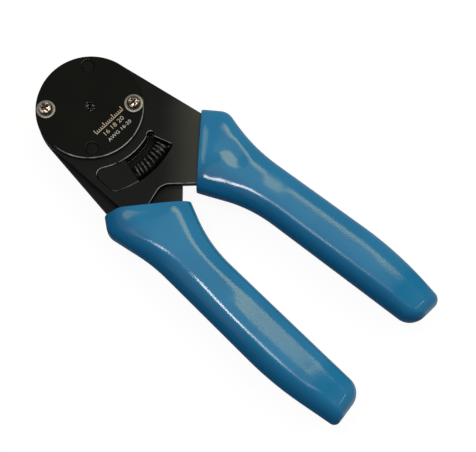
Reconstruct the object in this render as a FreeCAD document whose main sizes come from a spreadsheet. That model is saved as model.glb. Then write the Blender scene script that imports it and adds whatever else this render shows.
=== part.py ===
import FreeCAD, Part
import math
import os
import re
import Sketcher

# Hand crimping tool with four radial indenters.
# The crimp axis is Z, the origin is the centre of the contact hole on the front face of the front disc,
# and the two handles point along +X. The moving handle lies on the -Y side and closes by a positive turn.

Vector = FreeCAD.Vector
doc = FreeCAD.newDocument("crimping_tool")

# Driving dimensions, in millimetres and degrees.
sizes = {
    # layers, from the front face of the disc to the back
    "disc_thickness": 2.0,
    "plate_thickness": 4.0,
    "lever_thickness": 5.0,
    "layer_play": 0.03,
    "cover_thickness": 2.5,
    # head
    "head_radius": 23.0,
    "disc_margin": 0.5,
    "disc_edge": 0.35,
    "plate_edge": 0.25,
    "contact_radius": 1.95,
    "close_angle": 5.4,
    # fasteners through the head
    "pin_inset": 4.7,
    "screw_angle": 45.0,
    "screw_radius": 1.5,
    "screw_gap": 0.1,
    "screw_head_radius": 2.75,
    "screw_head_height": 1.9,
    "screw_dome": 0.8,
    "cross_width": 0.75,
    "cross_reach": 1.6,
    "cross_depth": 1.1,
    "flat_washer_radius": 4.0,
    "flat_washer_height": 0.6,
    "split_washer_radius": 2.85,
    "split_washer_height": 0.7,
    "split_gap": 0.6,
    "dowel_head_radius": 2.8,
    "dowel_head_height": 1.3,
    "dowel_recess": 0.3,
    "dowel_radius": 2.0,
    "dowel_gap": 0.03,
    "pin_slot_gap": 0.35,
    "pin_slot_spare": 1.0,
    # indenter hub
    "hub_radius": 12.6,
    "hub_seat_gap": 0.02,
    "hub_running_gap": 0.05,
    "hub_floor": 1.0,
    "indenter_width": 3.0,
    "slide_gap": 0.05,
    "cut_overrun": 1.0,
    # indenters, drawn open
    "tip_open": 1.5,
    "tip_travel": 0.85,
    "tip_half_width": 0.5,
    "tip_slope": 42.0,
    "nib_height": 3.0,
    "nib_root": 3.6,
    "indenter_block_end": 11.4,
    "follower_centre": 13.6,
    "cam_gap": 0.04,
    # window, spring and the tab that works the spring
    "window_inner": 26.7,
    "window_outer": 38.1,
    "window_floor": -20.8,
    "window_end_angle": 16.3,
    "window_corner": 3.0,
    "window_end_corner": 1.0,
    "window_relief": 1.5,
    "tab_gap": 0.15,
    "tab_face_angle": -15.7,
    "tab_drop": 0.3,
    "trough_depth": 3.2,
    "trough_end_angle": 19.0,
    "spring_slack": 4.0,
    "spring_side_gap": 0.5,
    "spring_wire": 1.1,
    "spring_end_gap": 0.4,
    "spring_floor_gap": 0.13,
    # frame plate outline
    "plate_top_angle": 8.5,
    "plate_top_end": 46.0,
    "plate_low_angle": -1.7,
    "plate_heel_x": 39.6,
    "plate_toe_x": 46.6,
    "plate_toe_y": -17.7,
    "notch_x": 44.3,
    "notch_y": -5.45,
    "notch_radius": 6.3,
    "notch_end_x": 60.0,
    "notch_end_y": 8.9,
    "notch_setback": 3.4,
    # handle tangs
    "handle_end": 164.1,
    "tang_inset": 16.1,
    "tang_corner": 4.0,
    "fixed_axis_y": 20.3,
    "fixed_axis_slope": 0.035,
    "fixed_tang_half": 7.0,
    "fixed_tang_top_start": 58.0,
    "fixed_tang_low_start": 71.0,
    "moving_axis_y": -19.1,
    "moving_axis_slope": -0.05,
    "moving_tang_half": 7.7,
    "moving_tang_low_start": 56.0,
    "moving_tang_top_start": 68.0,
    # lever outline
    "lever_low_angle": -8.8,
    "lever_low_end": 47.0,
    "lever_nose_x": 36.0,
    "lever_nose_y": 17.7,
    "lever_nose_radius": 2.0,
    "lever_heel_x": 59.5,
    "lever_heel_y": -9.8,
    "lever_shoulder_y": 17.0,
    "stop_gap": 0.05,
    "backing_nose_height": 2.7,
    "backing_toe_x": 51.4,
    # front layer of the moving handle
    "mouth_x": 46.4,
    "mouth_y": -15.4,
    "mouth_angle": 46.9,
    "facing_setback": 4.2,
    "mouth_gap": 0.25,
    "mouth_end": 8.0,
    # handle rivets
    "rivet_radius": 2.5,
    "rivet_gap": 0.03,
    "first_rivet_x": 66.0,
    "rivet_inset": 10.0,
    # grips
    "grip_thickness": 14.5,
    "grip_edge_radius": 6.0,
    "shoulder_radius": 6.3,
    "waist_radius": 80.0,
    "belly_radius": 150.0,
    "end_radius": 6.3,
    "flare_radius": 62.0,
    "fixed_toe_x": 35.35,
    "fixed_toe_y": 30.2,
    "fixed_shoulder_x": 44.5,
    "fixed_shoulder_y": 36.7,
    "fixed_waist_x": 62.3,
    "fixed_waist_y": 32.0,
    "fixed_belly_inset": 28.1,
    "fixed_belly_y": 36.7,
    "fixed_end_top_inset": 1.8,
    "fixed_end_top_y": 32.4,
    "fixed_end_low_inset": 3.3,
    "fixed_end_low_y": 16.0,
    "fixed_flare_x": 78.5,
    "fixed_flare_y": 12.1,
    "fixed_heel_x": 56.5,
    "fixed_heel_y": 2.5,
    "moving_toe_x": 35.4,
    "moving_toe_y": -30.7,
    "moving_bend_x": 38.1,
    "moving_bend_y": -24.4,
    "moving_bend_radius": 8.0,
    "moving_shoulder_x": 41.4,
    "moving_shoulder_y": -35.6,
    "moving_waist_x": 63.6,
    "moving_waist_y": -32.8,
    "moving_belly_inset": 31.8,
    "moving_belly_y": -38.1,
    "moving_end_low_y": -35.3,
    "moving_end_top_inset": 2.3,
    "moving_end_top_y": -16.9,
    "moving_flare_x": 75.7,
    "moving_flare_y": -11.25,
    "moving_heel_x": 58.3,
    "moving_heel_y": -2.7,
    # depth stop at the back
    "boss_radius": 6.5,
    "boss_height": 4.0,
    "adjuster_radius": 3.0,
    "adjuster_gap": 0.05,
    "adjuster_lead": 1.5,
    "adjuster_shank": 13.0,
    "adjuster_head_radius": 4.8,
    "adjuster_head_height": 5.0,
    "adjuster_slot_width": 1.2,
    "adjuster_slot_depth": 1.5,
    "tip_pin_radius": 0.9,
    "tip_pin_rise": 2.0,
    "tip_pin_depth": 6.0,
    "locknut_flats": 10.0,
    "locknut_height": 4.0,
    "locknut_gap": 0.05,
    "small_edge": 0.4,
}

sheet = doc.addObject("Spreadsheet::Sheet", "Sizes")
for row, (alias, amount) in enumerate(sizes.items(), start=1):
    sheet.set(f"A{row}", alias.replace("_", " "))
    sheet.set(f"B{row}", str(amount))
    sheet.setAlias(f"B{row}", alias)
doc.recompute()

# Sizes that follow from others.
disc_radius = "(head_radius - disc_margin)"
pin_circle = "(head_radius - pin_inset)"
far = "(3 * head_radius)"
tang_end = "(handle_end - tang_inset)"
spring_radius = "((window_outer - window_inner - spring_slack) / 2)"
spring_path_radius = f"(window_outer - spring_side_gap - {spring_radius})"

# Heights of the layer faces.
disc_back = "(-disc_thickness)"
plate_back = f"({disc_back} - plate_thickness)"
lever_front = f"({plate_back} - layer_play)"
lever_back = f"({lever_front} - lever_thickness)"
facing_front = f"({lever_front} + plate_thickness)"
cover_front = f"({lever_back} - layer_play)"
cover_back = f"({cover_front} - cover_thickness)"
boss_back = f"({cover_back} - boss_height)"
hub_floor_top = f"({cover_front} + hub_floor)"
grip_back = f"(({disc_back} + {lever_back} - grip_thickness) / 2)"

# Places closer than this are the same place.
hair = 1e-4


def bound(formula):
    """Point the aliases in a formula at the sheet."""
    return re.sub(r"\b[a-z]+(?:_[a-z0-9]+)+\b", r"Sizes.\g<0>", formula)


def size(formula):
    return float(sheet.evalExpression(formula))


def new_body(label):
    body = doc.addObject("PartDesign::Body", label)
    body.Label = label
    return body


def new_sketch(body, name, level="0"):
    """A sketch parallel to the body's XY plane at a height."""
    sketch = body.newObject("Sketcher::SketchObject", name)
    plane = next(item for item in body.Origin.OriginFeatures if item.Role == "XY_Plane")
    sketch.AttachmentSupport = (plane, [""])
    sketch.MapMode = "FlatFace"
    sketch.setExpression("AttachmentOffset.Base.z", bound(level))
    return sketch


def limit(sketch, constraint, formula):
    """Add a dimension whose value follows the sheet."""
    index = sketch.addConstraint(constraint)
    sketch.setExpression(f"Constraints[{index}]", bound(formula))


def fix_point(sketch, element, place, x, y):
    limit(sketch, Sketcher.Constraint("DistanceX", -1, 1, element, place, size(x)), x)
    limit(sketch, Sketcher.Constraint("DistanceY", -1, 1, element, place, size(y)), y)


def draw_circle(sketch, x, y, radius):
    circle = Part.Circle(Vector(size(x), size(y), 0), Vector(0, 0, 1), size(radius))
    element = sketch.addGeometry(circle)
    limit(sketch, Sketcher.Constraint("Radius", element, size(radius)), radius)
    fix_point(sketch, element, 3, x, y)


def draw_arc(sketch, centre, radius, start, end):
    circle = Part.Circle(centre, Vector(0, 0, 1), radius)
    return sketch.addGeometry(Part.ArcOfCircle(circle, start, end))


def draw_outline(sketch, corners):
    """A closed outline through corners (x, y, radius), anticlockwise. A sharp corner has no radius."""
    count = len(corners)
    places = [Vector(size(x), size(y), 0) for x, y, radius in corners]
    incoming, outgoing = [], []
    for i, (x, y, radius) in enumerate(corners):
        back = (places[i - 1] - places[i]).normalize()
        ahead = (places[(i + 1) % count] - places[i]).normalize()
        reach = size(radius) / math.tan(back.getAngle(ahead) / 2) if radius else 0.0
        incoming.append(places[i] + back * reach)
        outgoing.append(places[i] + ahead * reach)
    lines = []
    for i in range(count):
        line = Part.LineSegment(outgoing[i], incoming[(i + 1) % count])
        lines.append(sketch.addGeometry(line))
    arcs = {}
    for i, (x, y, radius) in enumerate(corners):
        before, after = lines[i - 1], lines[i]
        if not radius:
            sketch.addConstraint(Sketcher.Constraint("Coincident", before, 2, after, 1))
            fix_point(sketch, after, 1, x, y)
            continue
        travel = incoming[i] - places[i - 1]
        turn = travel.cross(outgoing[i] - places[i]).z
        side = Vector(-travel.y, travel.x, 0).normalize() * math.copysign(size(radius), turn)
        centre = incoming[i] + side
        first = math.atan2(incoming[i].y - centre.y, incoming[i].x - centre.x)
        last = math.atan2(outgoing[i].y - centre.y, outgoing[i].x - centre.x)
        if turn > 0:
            arc = draw_arc(sketch, centre, size(radius), first, last)
        else:
            arc = draw_arc(sketch, centre, size(radius), last, first)
        arcs[i] = arc
        enter, leave = (1, 2) if turn > 0 else (2, 1)
        sketch.addConstraint(Sketcher.Constraint("Tangent", before, 2, arc, enter))
        sketch.addConstraint(Sketcher.Constraint("Tangent", arc, leave, after, 1))
        limit(sketch, Sketcher.Constraint("Radius", arc, size(radius)), radius)
        corner = sketch.addGeometry(Part.Point(places[i]), True)
        fix_point(sketch, corner, 1, x, y)
        sketch.addConstraint(Sketcher.Constraint("PointOnObject", corner, 1, before))
        sketch.addConstraint(Sketcher.Constraint("PointOnObject", corner, 1, after))
    return lines, arcs


def draw_bar(sketch, start, end, half):
    """A rectangle along X that lies evenly about the X axis."""
    low = f"-{half}"
    draw_outline(sketch, [(start, low, ""), (end, low, ""), (end, half, ""), (start, half, "")])


def draw_ring_end(sketch, inner_arc, outer_arc, place, angle):
    """Close two arcs about the origin with a radial line at their start (1) or end (2)."""
    turn = math.radians(size(angle))
    out = Vector(math.cos(turn), math.sin(turn), 0)
    near, far = sketch.Geometry[inner_arc].Radius, sketch.Geometry[outer_arc].Radius
    line = sketch.addGeometry(Part.LineSegment(out * near, out * far))
    sketch.addConstraint(Sketcher.Constraint("Coincident", line, 1, inner_arc, place))
    sketch.addConstraint(Sketcher.Constraint("Coincident", line, 2, outer_arc, place))
    sketch.addConstraint(Sketcher.Constraint("PointOnObject", -1, 1, line))
    limit(sketch, Sketcher.Constraint("Angle", line, turn), f"({angle}) * 1 deg")


def draw_ring_arcs(sketch, inner, outer, inner_start, outer_start, end):
    arcs = []
    for radius, start in ((inner, inner_start), (outer, outer_start)):
        arc = draw_arc(sketch, Vector(0, 0, 0), size(radius), start, end)
        sketch.addConstraint(Sketcher.Constraint("Coincident", arc, 3, -1, 1))
        limit(sketch, Sketcher.Constraint("Radius", arc, size(radius)), radius)
        arcs.append(arc)
    return arcs


def draw_sector(sketch, inner, outer, low, high):
    """A ring sector about the origin, with radial ends."""
    start, end = math.radians(size(low)), math.radians(size(high))
    inner_arc, outer_arc = draw_ring_arcs(sketch, inner, outer, start, start, end)
    draw_ring_end(sketch, inner_arc, outer_arc, 1, low)
    draw_ring_end(sketch, inner_arc, outer_arc, 2, high)


def draw_window(sketch, inner, outer, floor, high):
    """A ring sector whose low end is a level line at the height floor."""
    end = math.radians(size(high))
    level = size(floor)
    inner_start = math.asin(level / size(inner))
    outer_start = math.asin(level / size(outer))
    inner_arc, outer_arc = draw_ring_arcs(sketch, inner, outer, inner_start, outer_start, end)
    draw_ring_end(sketch, inner_arc, outer_arc, 2, high)
    left = Vector(size(inner) * math.cos(inner_start), level, 0)
    right = Vector(size(outer) * math.cos(outer_start), level, 0)
    line = sketch.addGeometry(Part.LineSegment(left, right))
    sketch.addConstraint(Sketcher.Constraint("Coincident", line, 1, inner_arc, 1))
    sketch.addConstraint(Sketcher.Constraint("Coincident", line, 2, outer_arc, 1))
    sketch.addConstraint(Sketcher.Constraint("Horizontal", line))
    limit(sketch, Sketcher.Constraint("DistanceY", -1, 1, line, 1, level), floor)


def draw_arc_slot(sketch, path, half_width, low, high):
    """A slot with round ends along a circle about the origin."""
    start, end = math.radians(size(low)), math.radians(size(high))
    inner, outer = f"({path} - ({half_width}))", f"({path} + ({half_width}))"
    inner_arc, outer_arc = draw_ring_arcs(sketch, inner, outer, start, start, end)
    for place, angle, turn in ((1, low, start), (2, high, end)):
        centre = Vector(math.cos(turn), math.sin(turn), 0) * size(path)
        begin = turn - math.pi if place == 1 else turn
        cap = draw_arc(sketch, centre, size(half_width), begin, begin + math.pi)
        cap_inner, cap_outer = (1, 2) if place == 1 else (2, 1)
        sketch.addConstraint(Sketcher.Constraint("Tangent", inner_arc, place, cap, cap_inner))
        sketch.addConstraint(Sketcher.Constraint("Tangent", outer_arc, place, cap, cap_outer))
        height = f"{path} * sin({angle})"
        limit(sketch, Sketcher.Constraint("DistanceY", -1, 1, cap, 3, size(height)), height)


def pad(body, sketch, length):
    feature = body.newObject("PartDesign::Pad", sketch.Name + "_pad")
    feature.Profile = sketch
    feature.setExpression("Length", bound(length))
    doc.recompute()
    return feature


def pocket(body, sketch, depth):
    """Cut upwards from the sketch and make sure that material went."""
    before = body.Shape.Volume
    feature = body.newObject("PartDesign::Pocket", sketch.Name + "_pocket")
    feature.Profile = sketch
    feature.Reversed = True
    feature.setExpression("Length", bound(depth))
    doc.recompute()
    if not feature.Shape.Volume < before - 1e-6:
        raise RuntimeError(sketch.Name + " cuts nothing")
    return feature


def repeat_around(body, feature, count):
    pattern = body.newObject("PartDesign::PolarPattern", feature.Name + "_around")
    pattern.Originals = [feature]
    axis = next(item for item in body.Origin.OriginFeatures if item.Role == "Z_Axis")
    pattern.Axis = (axis, [""])
    pattern.Angle = 360
    pattern.Occurrences = count
    body.Tip = pattern
    doc.recompute()
    return pattern


def edge_names(shape, keep):
    return [f"Edge{i}" for i, edge in enumerate(shape.Edges, start=1) if keep(edge)]


def dress(body, kind, amount, keep):
    """Fillet or chamfer the edges of the body that keep() picks."""
    base = body.Tip
    feature = body.newObject("PartDesign::" + kind, body.Label + "_" + kind.lower())
    feature.Base = (base, edge_names(base.Shape, keep))
    feature.setExpression("Radius" if kind == "Fillet" else "Size", bound(amount))
    doc.recompute()
    return feature


def middle(edge):
    return edge.valueAt((edge.FirstParameter + edge.LastParameter) / 2)


def at_height(edge, level):
    return all(abs(point.z - level) < hair for point in (edge.firstVertex().Point, middle(edge)))


def reach(point):
    return math.hypot(point.x, point.y)


def polar(radius, angle):
    return f"({radius}) * cos({angle})", f"({radius}) * sin({angle})"


def fastener_places():
    """Two screws and two dowels share one circle, a quarter turn apart."""
    screws = [polar(pin_circle, f"screw_angle + {turn}") for turn in (0, 180)]
    dowels = [polar(pin_circle, f"screw_angle + {turn}") for turn in (90, 270)]
    return screws, dowels


def cut_fastener_holes(body, level, depth, screw_gap):
    screws, dowels = fastener_places()
    sketch = new_sketch(body, body.Label + "_fastener_holes", level)
    for x, y in screws:
        draw_circle(sketch, x, y, f"screw_radius + {screw_gap}")
    for x, y in dowels:
        draw_circle(sketch, x, y, "dowel_radius + dowel_gap")
    return pocket(body, sketch, depth)


def rivet_places(side):
    """Rivet centres along the axis of one handle."""
    last = f"({tang_end} - rivet_inset)"
    stations = ("first_rivet_x", f"((first_rivet_x + {last}) / 2)", last)
    return [(x, f"{side}_axis_y + {side}_axis_slope * {x}") for x in stations]


def cut_rivet_holes(body, side, level, depth):
    sketch = new_sketch(body, body.Label + "_rivet_holes", level)
    for x, y in rivet_places(side):
        draw_circle(sketch, x, y, "rivet_radius + rivet_gap")
    return pocket(body, sketch, depth)


def edge_line(angle, x):
    """Height at x of the line that touches the head circle and runs at an angle: upper edges."""
    return f"(head_radius + {x} * sin({angle})) / cos({angle})"


def low_edge_line(angle, x):
    return f"(-head_radius + {x} * sin({angle})) / cos({angle})"


def tang_corner(side, x, sign):
    y = f"{side}_axis_y + {side}_axis_slope * {x} {sign} {side}_tang_half"
    return x, y


def tang_end_corners(side):
    return [tang_corner(side, tang_end, sign) + ("tang_corner",) for sign in ("-", "+")]


def front_frame_plate():
    body = new_body("front_frame_plate")
    head = new_sketch(body, "plate_head", plate_back)
    draw_circle(head, "0", "0", "head_radius")
    pad(body, head, "plate_thickness")
    arm = new_sketch(body, "plate_arm", plate_back)
    corners = [
        polar("head_radius", "plate_low_angle - 90") + ("",),
        ("plate_heel_x", low_edge_line("plate_low_angle", "plate_heel_x"), ""),
        ("plate_toe_x", "plate_toe_y", "small_edge"),
        ("notch_x", "notch_y", "notch_radius"),
        ("notch_end_x", "notch_end_y", "tang_corner"),
        tang_corner("fixed", "fixed_tang_low_start", "-") + ("tang_corner",),
        *tang_end_corners("fixed"),
        tang_corner("fixed", "fixed_tang_top_start", "+") + ("tang_corner",),
        ("plate_top_end", edge_line("plate_top_angle", "plate_top_end"), "tang_corner"),
        polar("head_radius", "plate_top_angle + 90") + ("",),
    ]
    draw_outline(arm, corners)
    pad(body, arm, "plate_thickness")
    window = new_sketch(body, "plate_window", plate_back)
    draw_window(window, "window_inner", "window_outer", "window_floor", "window_end_angle")
    pocket(body, window, "plate_thickness")
    floor = size("window_floor")
    inner, outer = size("window_inner"), size("window_outer")
    on_wall = lambda point: min(abs(reach(point) - inner), abs(reach(point) - outer)) < hair
    upright = lambda edge: abs(middle(edge).z - edge.firstVertex().Point.z) > hair
    dress(body, "Fillet", "window_corner",
          lambda edge: upright(edge) and abs(middle(edge).y - floor) < hair and on_wall(middle(edge)))
    dress(body, "Fillet", "window_end_corner",
          lambda edge: upright(edge) and middle(edge).y > 0 and on_wall(middle(edge)))
    relief = new_sketch(body, "window_relief_hole", plate_back)
    draw_circle(relief, *polar("window_inner + window_end_corner", "window_end_angle"), "window_relief")
    pocket(body, relief, "plate_thickness")
    bore = new_sketch(body, "plate_bore", plate_back)
    draw_circle(bore, "0", "0", "hub_radius + hub_seat_gap")
    pocket(body, bore, "plate_thickness")
    cut_fastener_holes(body, plate_back, "plate_thickness", "screw_gap")
    cut_rivet_holes(body, "fixed", plate_back, "plate_thickness")
    front = size(disc_back)
    covered = size(disc_radius)
    hidden = size("notch_end_x")
    dress(body, "Chamfer", "plate_edge",
          lambda edge: at_height(edge, front) and reach(middle(edge)) > covered and middle(edge).x < hidden)
    return body


def handle_backing_plate():
    """The rear layer of the fixed handle. Its front edge stops the lever when the jaws are closed."""
    body = new_body("handle_backing_plate")
    sketch = new_sketch(body, "backing_outline", lever_back)
    turn = "close_angle"
    stop = f"stop_gap / cos({turn})"
    heel = (f"lever_heel_x * cos({turn}) - lever_heel_y * sin({turn})",
            f"lever_heel_x * sin({turn}) + lever_heel_y * cos({turn}) + {stop}")
    nose = (f"lever_nose_x * cos({turn}) - lever_nose_y * sin({turn})",
            f"lever_nose_x * sin({turn}) + lever_nose_y * cos({turn}) + {stop}")
    slope = f"(({nose[1]}) - ({heel[1]})) / (({nose[0]}) - ({heel[0]}))"
    rise = "tan(plate_top_angle)"
    fall = f"({slope}) * ({heel[0]}) - ({heel[1]})"
    nose_x = f"((head_radius / cos(plate_top_angle) + {fall} - backing_nose_height) / (({slope}) - {rise}))"
    corners = [
        ("backing_toe_x", f"({heel[1]}) + ({slope}) * (backing_toe_x - ({heel[0]}))", "small_edge"),
        ("notch_end_x", "notch_end_y + notch_setback", "tang_corner"),
        tang_corner("fixed", "fixed_tang_low_start", "-") + ("tang_corner",),
        *tang_end_corners("fixed"),
        tang_corner("fixed", "fixed_tang_top_start", "+") + ("tang_corner",),
        ("plate_top_end", edge_line("plate_top_angle", "plate_top_end"), "tang_corner"),
        (nose_x, edge_line("plate_top_angle", nose_x), "small_edge"),
        (nose_x, f"({heel[1]}) + ({slope}) * ({nose_x} - ({heel[0]}))", "small_edge"),
    ]
    draw_outline(sketch, corners)
    pad(body, sketch, "lever_thickness + layer_play")
    cut_rivet_holes(body, "fixed", lever_back, "lever_thickness + layer_play")
    return body


def front_cover_disc():
    body = new_body("front_cover_disc")
    disc = new_sketch(body, "disc_outline", disc_back)
    draw_circle(disc, "0", "0", disc_radius)
    pad(body, disc, "disc_thickness")
    cut_fastener_holes(body, disc_back, "disc_thickness", "screw_gap")
    seats = new_sketch(body, "dowel_seats", "(-dowel_recess - dowel_head_height)")
    for x, y in fastener_places()[1]:
        draw_circle(seats, x, y, "dowel_head_radius + dowel_gap")
    pocket(body, seats, "dowel_recess + dowel_head_height")
    hole = new_sketch(body, "contact_hole", disc_back)
    draw_circle(hole, "0", "0", "contact_radius")
    pocket(body, hole, "disc_thickness")
    rim = size(disc_radius)
    dress(body, "Chamfer", "disc_edge",
          lambda edge: at_height(edge, 0) and abs(reach(middle(edge)) - rim) < hair)
    return body


def back_cover():
    body = new_body("back_cover")
    disc = new_sketch(body, "cover_outline", cover_back)
    draw_circle(disc, "0", "0", disc_radius)
    pad(body, disc, "cover_thickness")
    boss = new_sketch(body, "cover_boss", boss_back)
    draw_circle(boss, "0", "0", "boss_radius")
    pad(body, boss, "boss_height")
    bore = new_sketch(body, "cover_bore", boss_back)
    draw_circle(bore, "0", "0", "adjuster_radius + adjuster_gap")
    pocket(body, bore, "boss_height + cover_thickness")
    cut_fastener_holes(body, cover_back, "cover_thickness", "dowel_gap")
    rim, low = size(disc_radius), size(cover_back)
    bottom, boss_rim = size(boss_back), size("boss_radius")
    dress(body, "Chamfer", "small_edge",
          lambda edge: at_height(edge, low) and abs(reach(middle(edge)) - rim) < hair
          or at_height(edge, bottom) and abs(reach(middle(edge)) - boss_rim) < hair)
    return body


def indenter_hub():
    """The round guide that the lever turns on, with four radial slots and a floor."""
    body = new_body("indenter_hub")
    disc = new_sketch(body, "hub_outline", cover_front)
    draw_circle(disc, "0", "0", "hub_radius")
    height = f"{disc_back} - {cover_front}"
    pad(body, disc, height)
    slot = new_sketch(body, "hub_slot", hub_floor_top)
    half = "(indenter_width / 2 + slide_gap)"
    draw_bar(slot, "0", "(hub_radius + cut_overrun)", half)
    cut = pocket(body, slot, f"{disc_back} - {hub_floor_top}")
    repeat_around(body, cut, 4)
    hole = new_sketch(body, "hub_hole", cover_front)
    draw_circle(hole, "0", "0", "contact_radius")
    pocket(body, hole, height)
    return body


def indenter(number):
    """A sliding indenter. It is drawn pointing at the axis along X and turned into its slot."""
    body = new_body(f"indenter_{number}")
    low = f"({hub_floor_top} + slide_gap)"
    top = f"({disc_back} - slide_gap)"
    half = "(indenter_width / 2)"
    block = new_sketch(body, f"block_{number}", low)
    draw_bar(block, "nib_root", "indenter_block_end", half)
    pad(body, block, f"{top} - {low}")
    nib = new_sketch(body, f"nib_{number}", f"{top} - nib_height")
    flare = f"tip_open + ({half} - tip_half_width) / tan(tip_slope)"
    draw_outline(nib, [
        ("tip_open", "-tip_half_width", ""),
        (flare, f"-{half}", ""),
        ("nib_root", f"-{half}", ""),
        ("nib_root", half, ""),
        (flare, half, ""),
        ("tip_open", "tip_half_width", ""),
    ])
    pad(body, nib, "nib_height")
    follower = new_sketch(body, f"follower_{number}", low)
    draw_follower(follower, half)
    pad(body, follower, f"{plate_back} - layer_play - {low}")
    quarter_turns = FreeCAD.Rotation(Vector(0, 0, 1), 90 * (number - 1))
    body.Placement = FreeCAD.Placement(Vector(0, 0, 0), quarter_turns)
    doc.recompute()
    return body


def draw_follower(sketch, half):
    """A bar that ends in a half round, which rolls on the cam."""
    start, centre, side = size("indenter_block_end"), size("follower_centre"), size(half)
    low = sketch.addGeometry(Part.LineSegment(Vector(start, -side, 0), Vector(centre, -side, 0)))
    nose = draw_arc(sketch, Vector(centre, 0, 0), side, -math.pi / 2, math.pi / 2)
    high = sketch.addGeometry(Part.LineSegment(Vector(centre, side, 0), Vector(start, side, 0)))
    back = sketch.addGeometry(Part.LineSegment(Vector(start, side, 0), Vector(start, -side, 0)))
    sketch.addConstraint(Sketcher.Constraint("Tangent", low, 2, nose, 1))
    sketch.addConstraint(Sketcher.Constraint("Tangent", nose, 2, high, 1))
    sketch.addConstraint(Sketcher.Constraint("Coincident", high, 2, back, 1))
    sketch.addConstraint(Sketcher.Constraint("Coincident", back, 2, low, 1))
    sketch.addConstraint(Sketcher.Constraint("Horizontal", low))
    sketch.addConstraint(Sketcher.Constraint("Horizontal", high))
    fix_point(sketch, nose, 3, "follower_centre", "0")
    limit(sketch, Sketcher.Constraint("Radius", nose, side), half)
    limit(sketch, Sketcher.Constraint("DistanceX", -1, 1, back, 1, start), "indenter_block_end")
    limit(sketch, Sketcher.Constraint("DistanceX", -1, 1, back, 2, start), "indenter_block_end")


def cam_pockets():
    """The four pockets in the lever that push the indenters in.

    The follower centre runs on a spiral, so that equal turns of the lever give equal travel.
    """
    turn = math.radians(size("close_angle"))
    open_radius = size("follower_centre")
    rise = size("tip_travel") / turn
    wall = size("indenter_width") / 2 + size("cam_gap")
    inside = size("hub_radius - cut_overrun")

    def on_path(angle):
        radius = open_radius + rise * angle
        centre = Vector(radius * math.cos(angle), radius * math.sin(angle), 0)
        along = Vector(rise * math.cos(angle) - centre.y, rise * math.sin(angle) + centre.x, 0).normalize()
        return centre, Vector(along.y, -along.x, 0)

    def bow(centre, first, last):
        """Arc about a centre between two directions."""
        bisector = (first + last).normalize()
        return Part.Arc(centre + first * wall, centre + bisector * wall, centre + last * wall).toShape()

    start, start_out = on_path(0)
    end, end_out = on_path(-turn)
    half_way, half_out = on_path(-turn / 2)
    start_side = Vector(0, 1, 0)
    end_side = Vector(-math.sin(turn), -math.cos(turn), 0)
    start_in = Vector(inside, wall, 0)
    end_in = end + end_side * wall - Vector(math.cos(turn), -math.sin(turn), 0) * (end.Length - inside)
    sides = [
        Part.LineSegment(start_in, start + start_side * wall).toShape(),
        bow(start, start_side, start_out),
        Part.Arc(start + start_out * wall, half_way + half_out * wall, end + end_out * wall).toShape(),
        bow(end, end_out, end_side),
        Part.LineSegment(end + end_side * wall, end_in).toShape(),
        Part.LineSegment(end_in, start_in).toShape(),
    ]
    face = Part.Face(Part.Wire(sides))
    low = size(f"{lever_back} - cut_overrun")
    height = size("lever_thickness + 2 * cut_overrun")
    single = face.extrude(Vector(0, 0, height)).translated(Vector(0, 0, low))
    copies = [single.rotated(Vector(0, 0, 0), Vector(0, 0, 1), 90 * quarter) for quarter in range(4)]
    feature = doc.addObject("Part::Feature", "cam_pockets")
    feature.Shape = Part.makeCompound(copies)
    return feature


def arm_corners():
    """The moving arm: along its low edge, round the tang and back by the edge that meets the stop."""
    return [
        polar("head_radius", "lever_low_angle - 90") + ("",),
        ("lever_low_end", low_edge_line("lever_low_angle", "lever_low_end"), "tang_corner"),
        tang_corner("moving", "moving_tang_low_start", "-") + ("tang_corner",),
        *tang_end_corners("moving"),
        tang_corner("moving", "moving_tang_top_start", "+") + ("tang_corner",),
        ("lever_heel_x", "lever_heel_y", "lever_nose_radius"),
        ("lever_nose_x", "lever_nose_y", "lever_nose_radius"),
        ("sqrt(head_radius ^ 2 - lever_shoulder_y ^ 2)", "lever_shoulder_y", ""),
    ]


def lever_plate():
    body = new_body("lever_blank")
    head = new_sketch(body, "lever_head", lever_back)
    draw_circle(head, "0", "0", "head_radius")
    pad(body, head, "lever_thickness")
    arm = new_sketch(body, "lever_arm", lever_back)
    draw_outline(arm, arm_corners())
    pad(body, arm, "lever_thickness")
    trough = new_sketch(body, "spring_trough", f"{lever_front} - trough_depth")
    draw_sector(trough, "window_inner", "window_outer", "tab_face_angle", "trough_end_angle")
    pocket(body, trough, "trough_depth")
    bore = new_sketch(body, "lever_bore", lever_back)
    draw_circle(bore, "0", "0", "hub_radius + hub_running_gap")
    pocket(body, bore, "lever_thickness")
    slot = new_sketch(body, "pin_slot", lever_back)
    slot_start, slot_end = "screw_angle - close_angle - pin_slot_spare", "screw_angle + pin_slot_spare"
    draw_arc_slot(slot, pin_circle, "dowel_radius + pin_slot_gap", slot_start, slot_end)
    repeat_around(body, pocket(body, slot, "lever_thickness"), 4)
    cut_rivet_holes(body, "moving", lever_back, "lever_thickness")
    tab = new_sketch(body, "spring_tab", lever_front)
    inner, outer = "window_inner + tab_gap", "window_outer - tab_gap"
    draw_window(tab, inner, outer, "window_floor + tab_gap", "tab_face_angle")
    pad(body, tab, "plate_thickness + layer_play - tab_drop")
    floor = size("window_floor + tab_gap")
    top = size(f"{disc_back} - tab_drop")
    dress(body, "Fillet", "window_corner - tab_gap",
          lambda edge: abs(middle(edge).y - floor) < hair and size(lever_front) < middle(edge).z < top)
    dress(body, "Chamfer", "plate_edge", lambda edge: at_height(edge, top))
    lever = doc.addObject("Part::Cut", "lever_plate")
    lever.Label = "lever_plate"
    lever.Base = body
    lever.Tool = cam_pockets()
    doc.recompute()
    return lever


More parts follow.
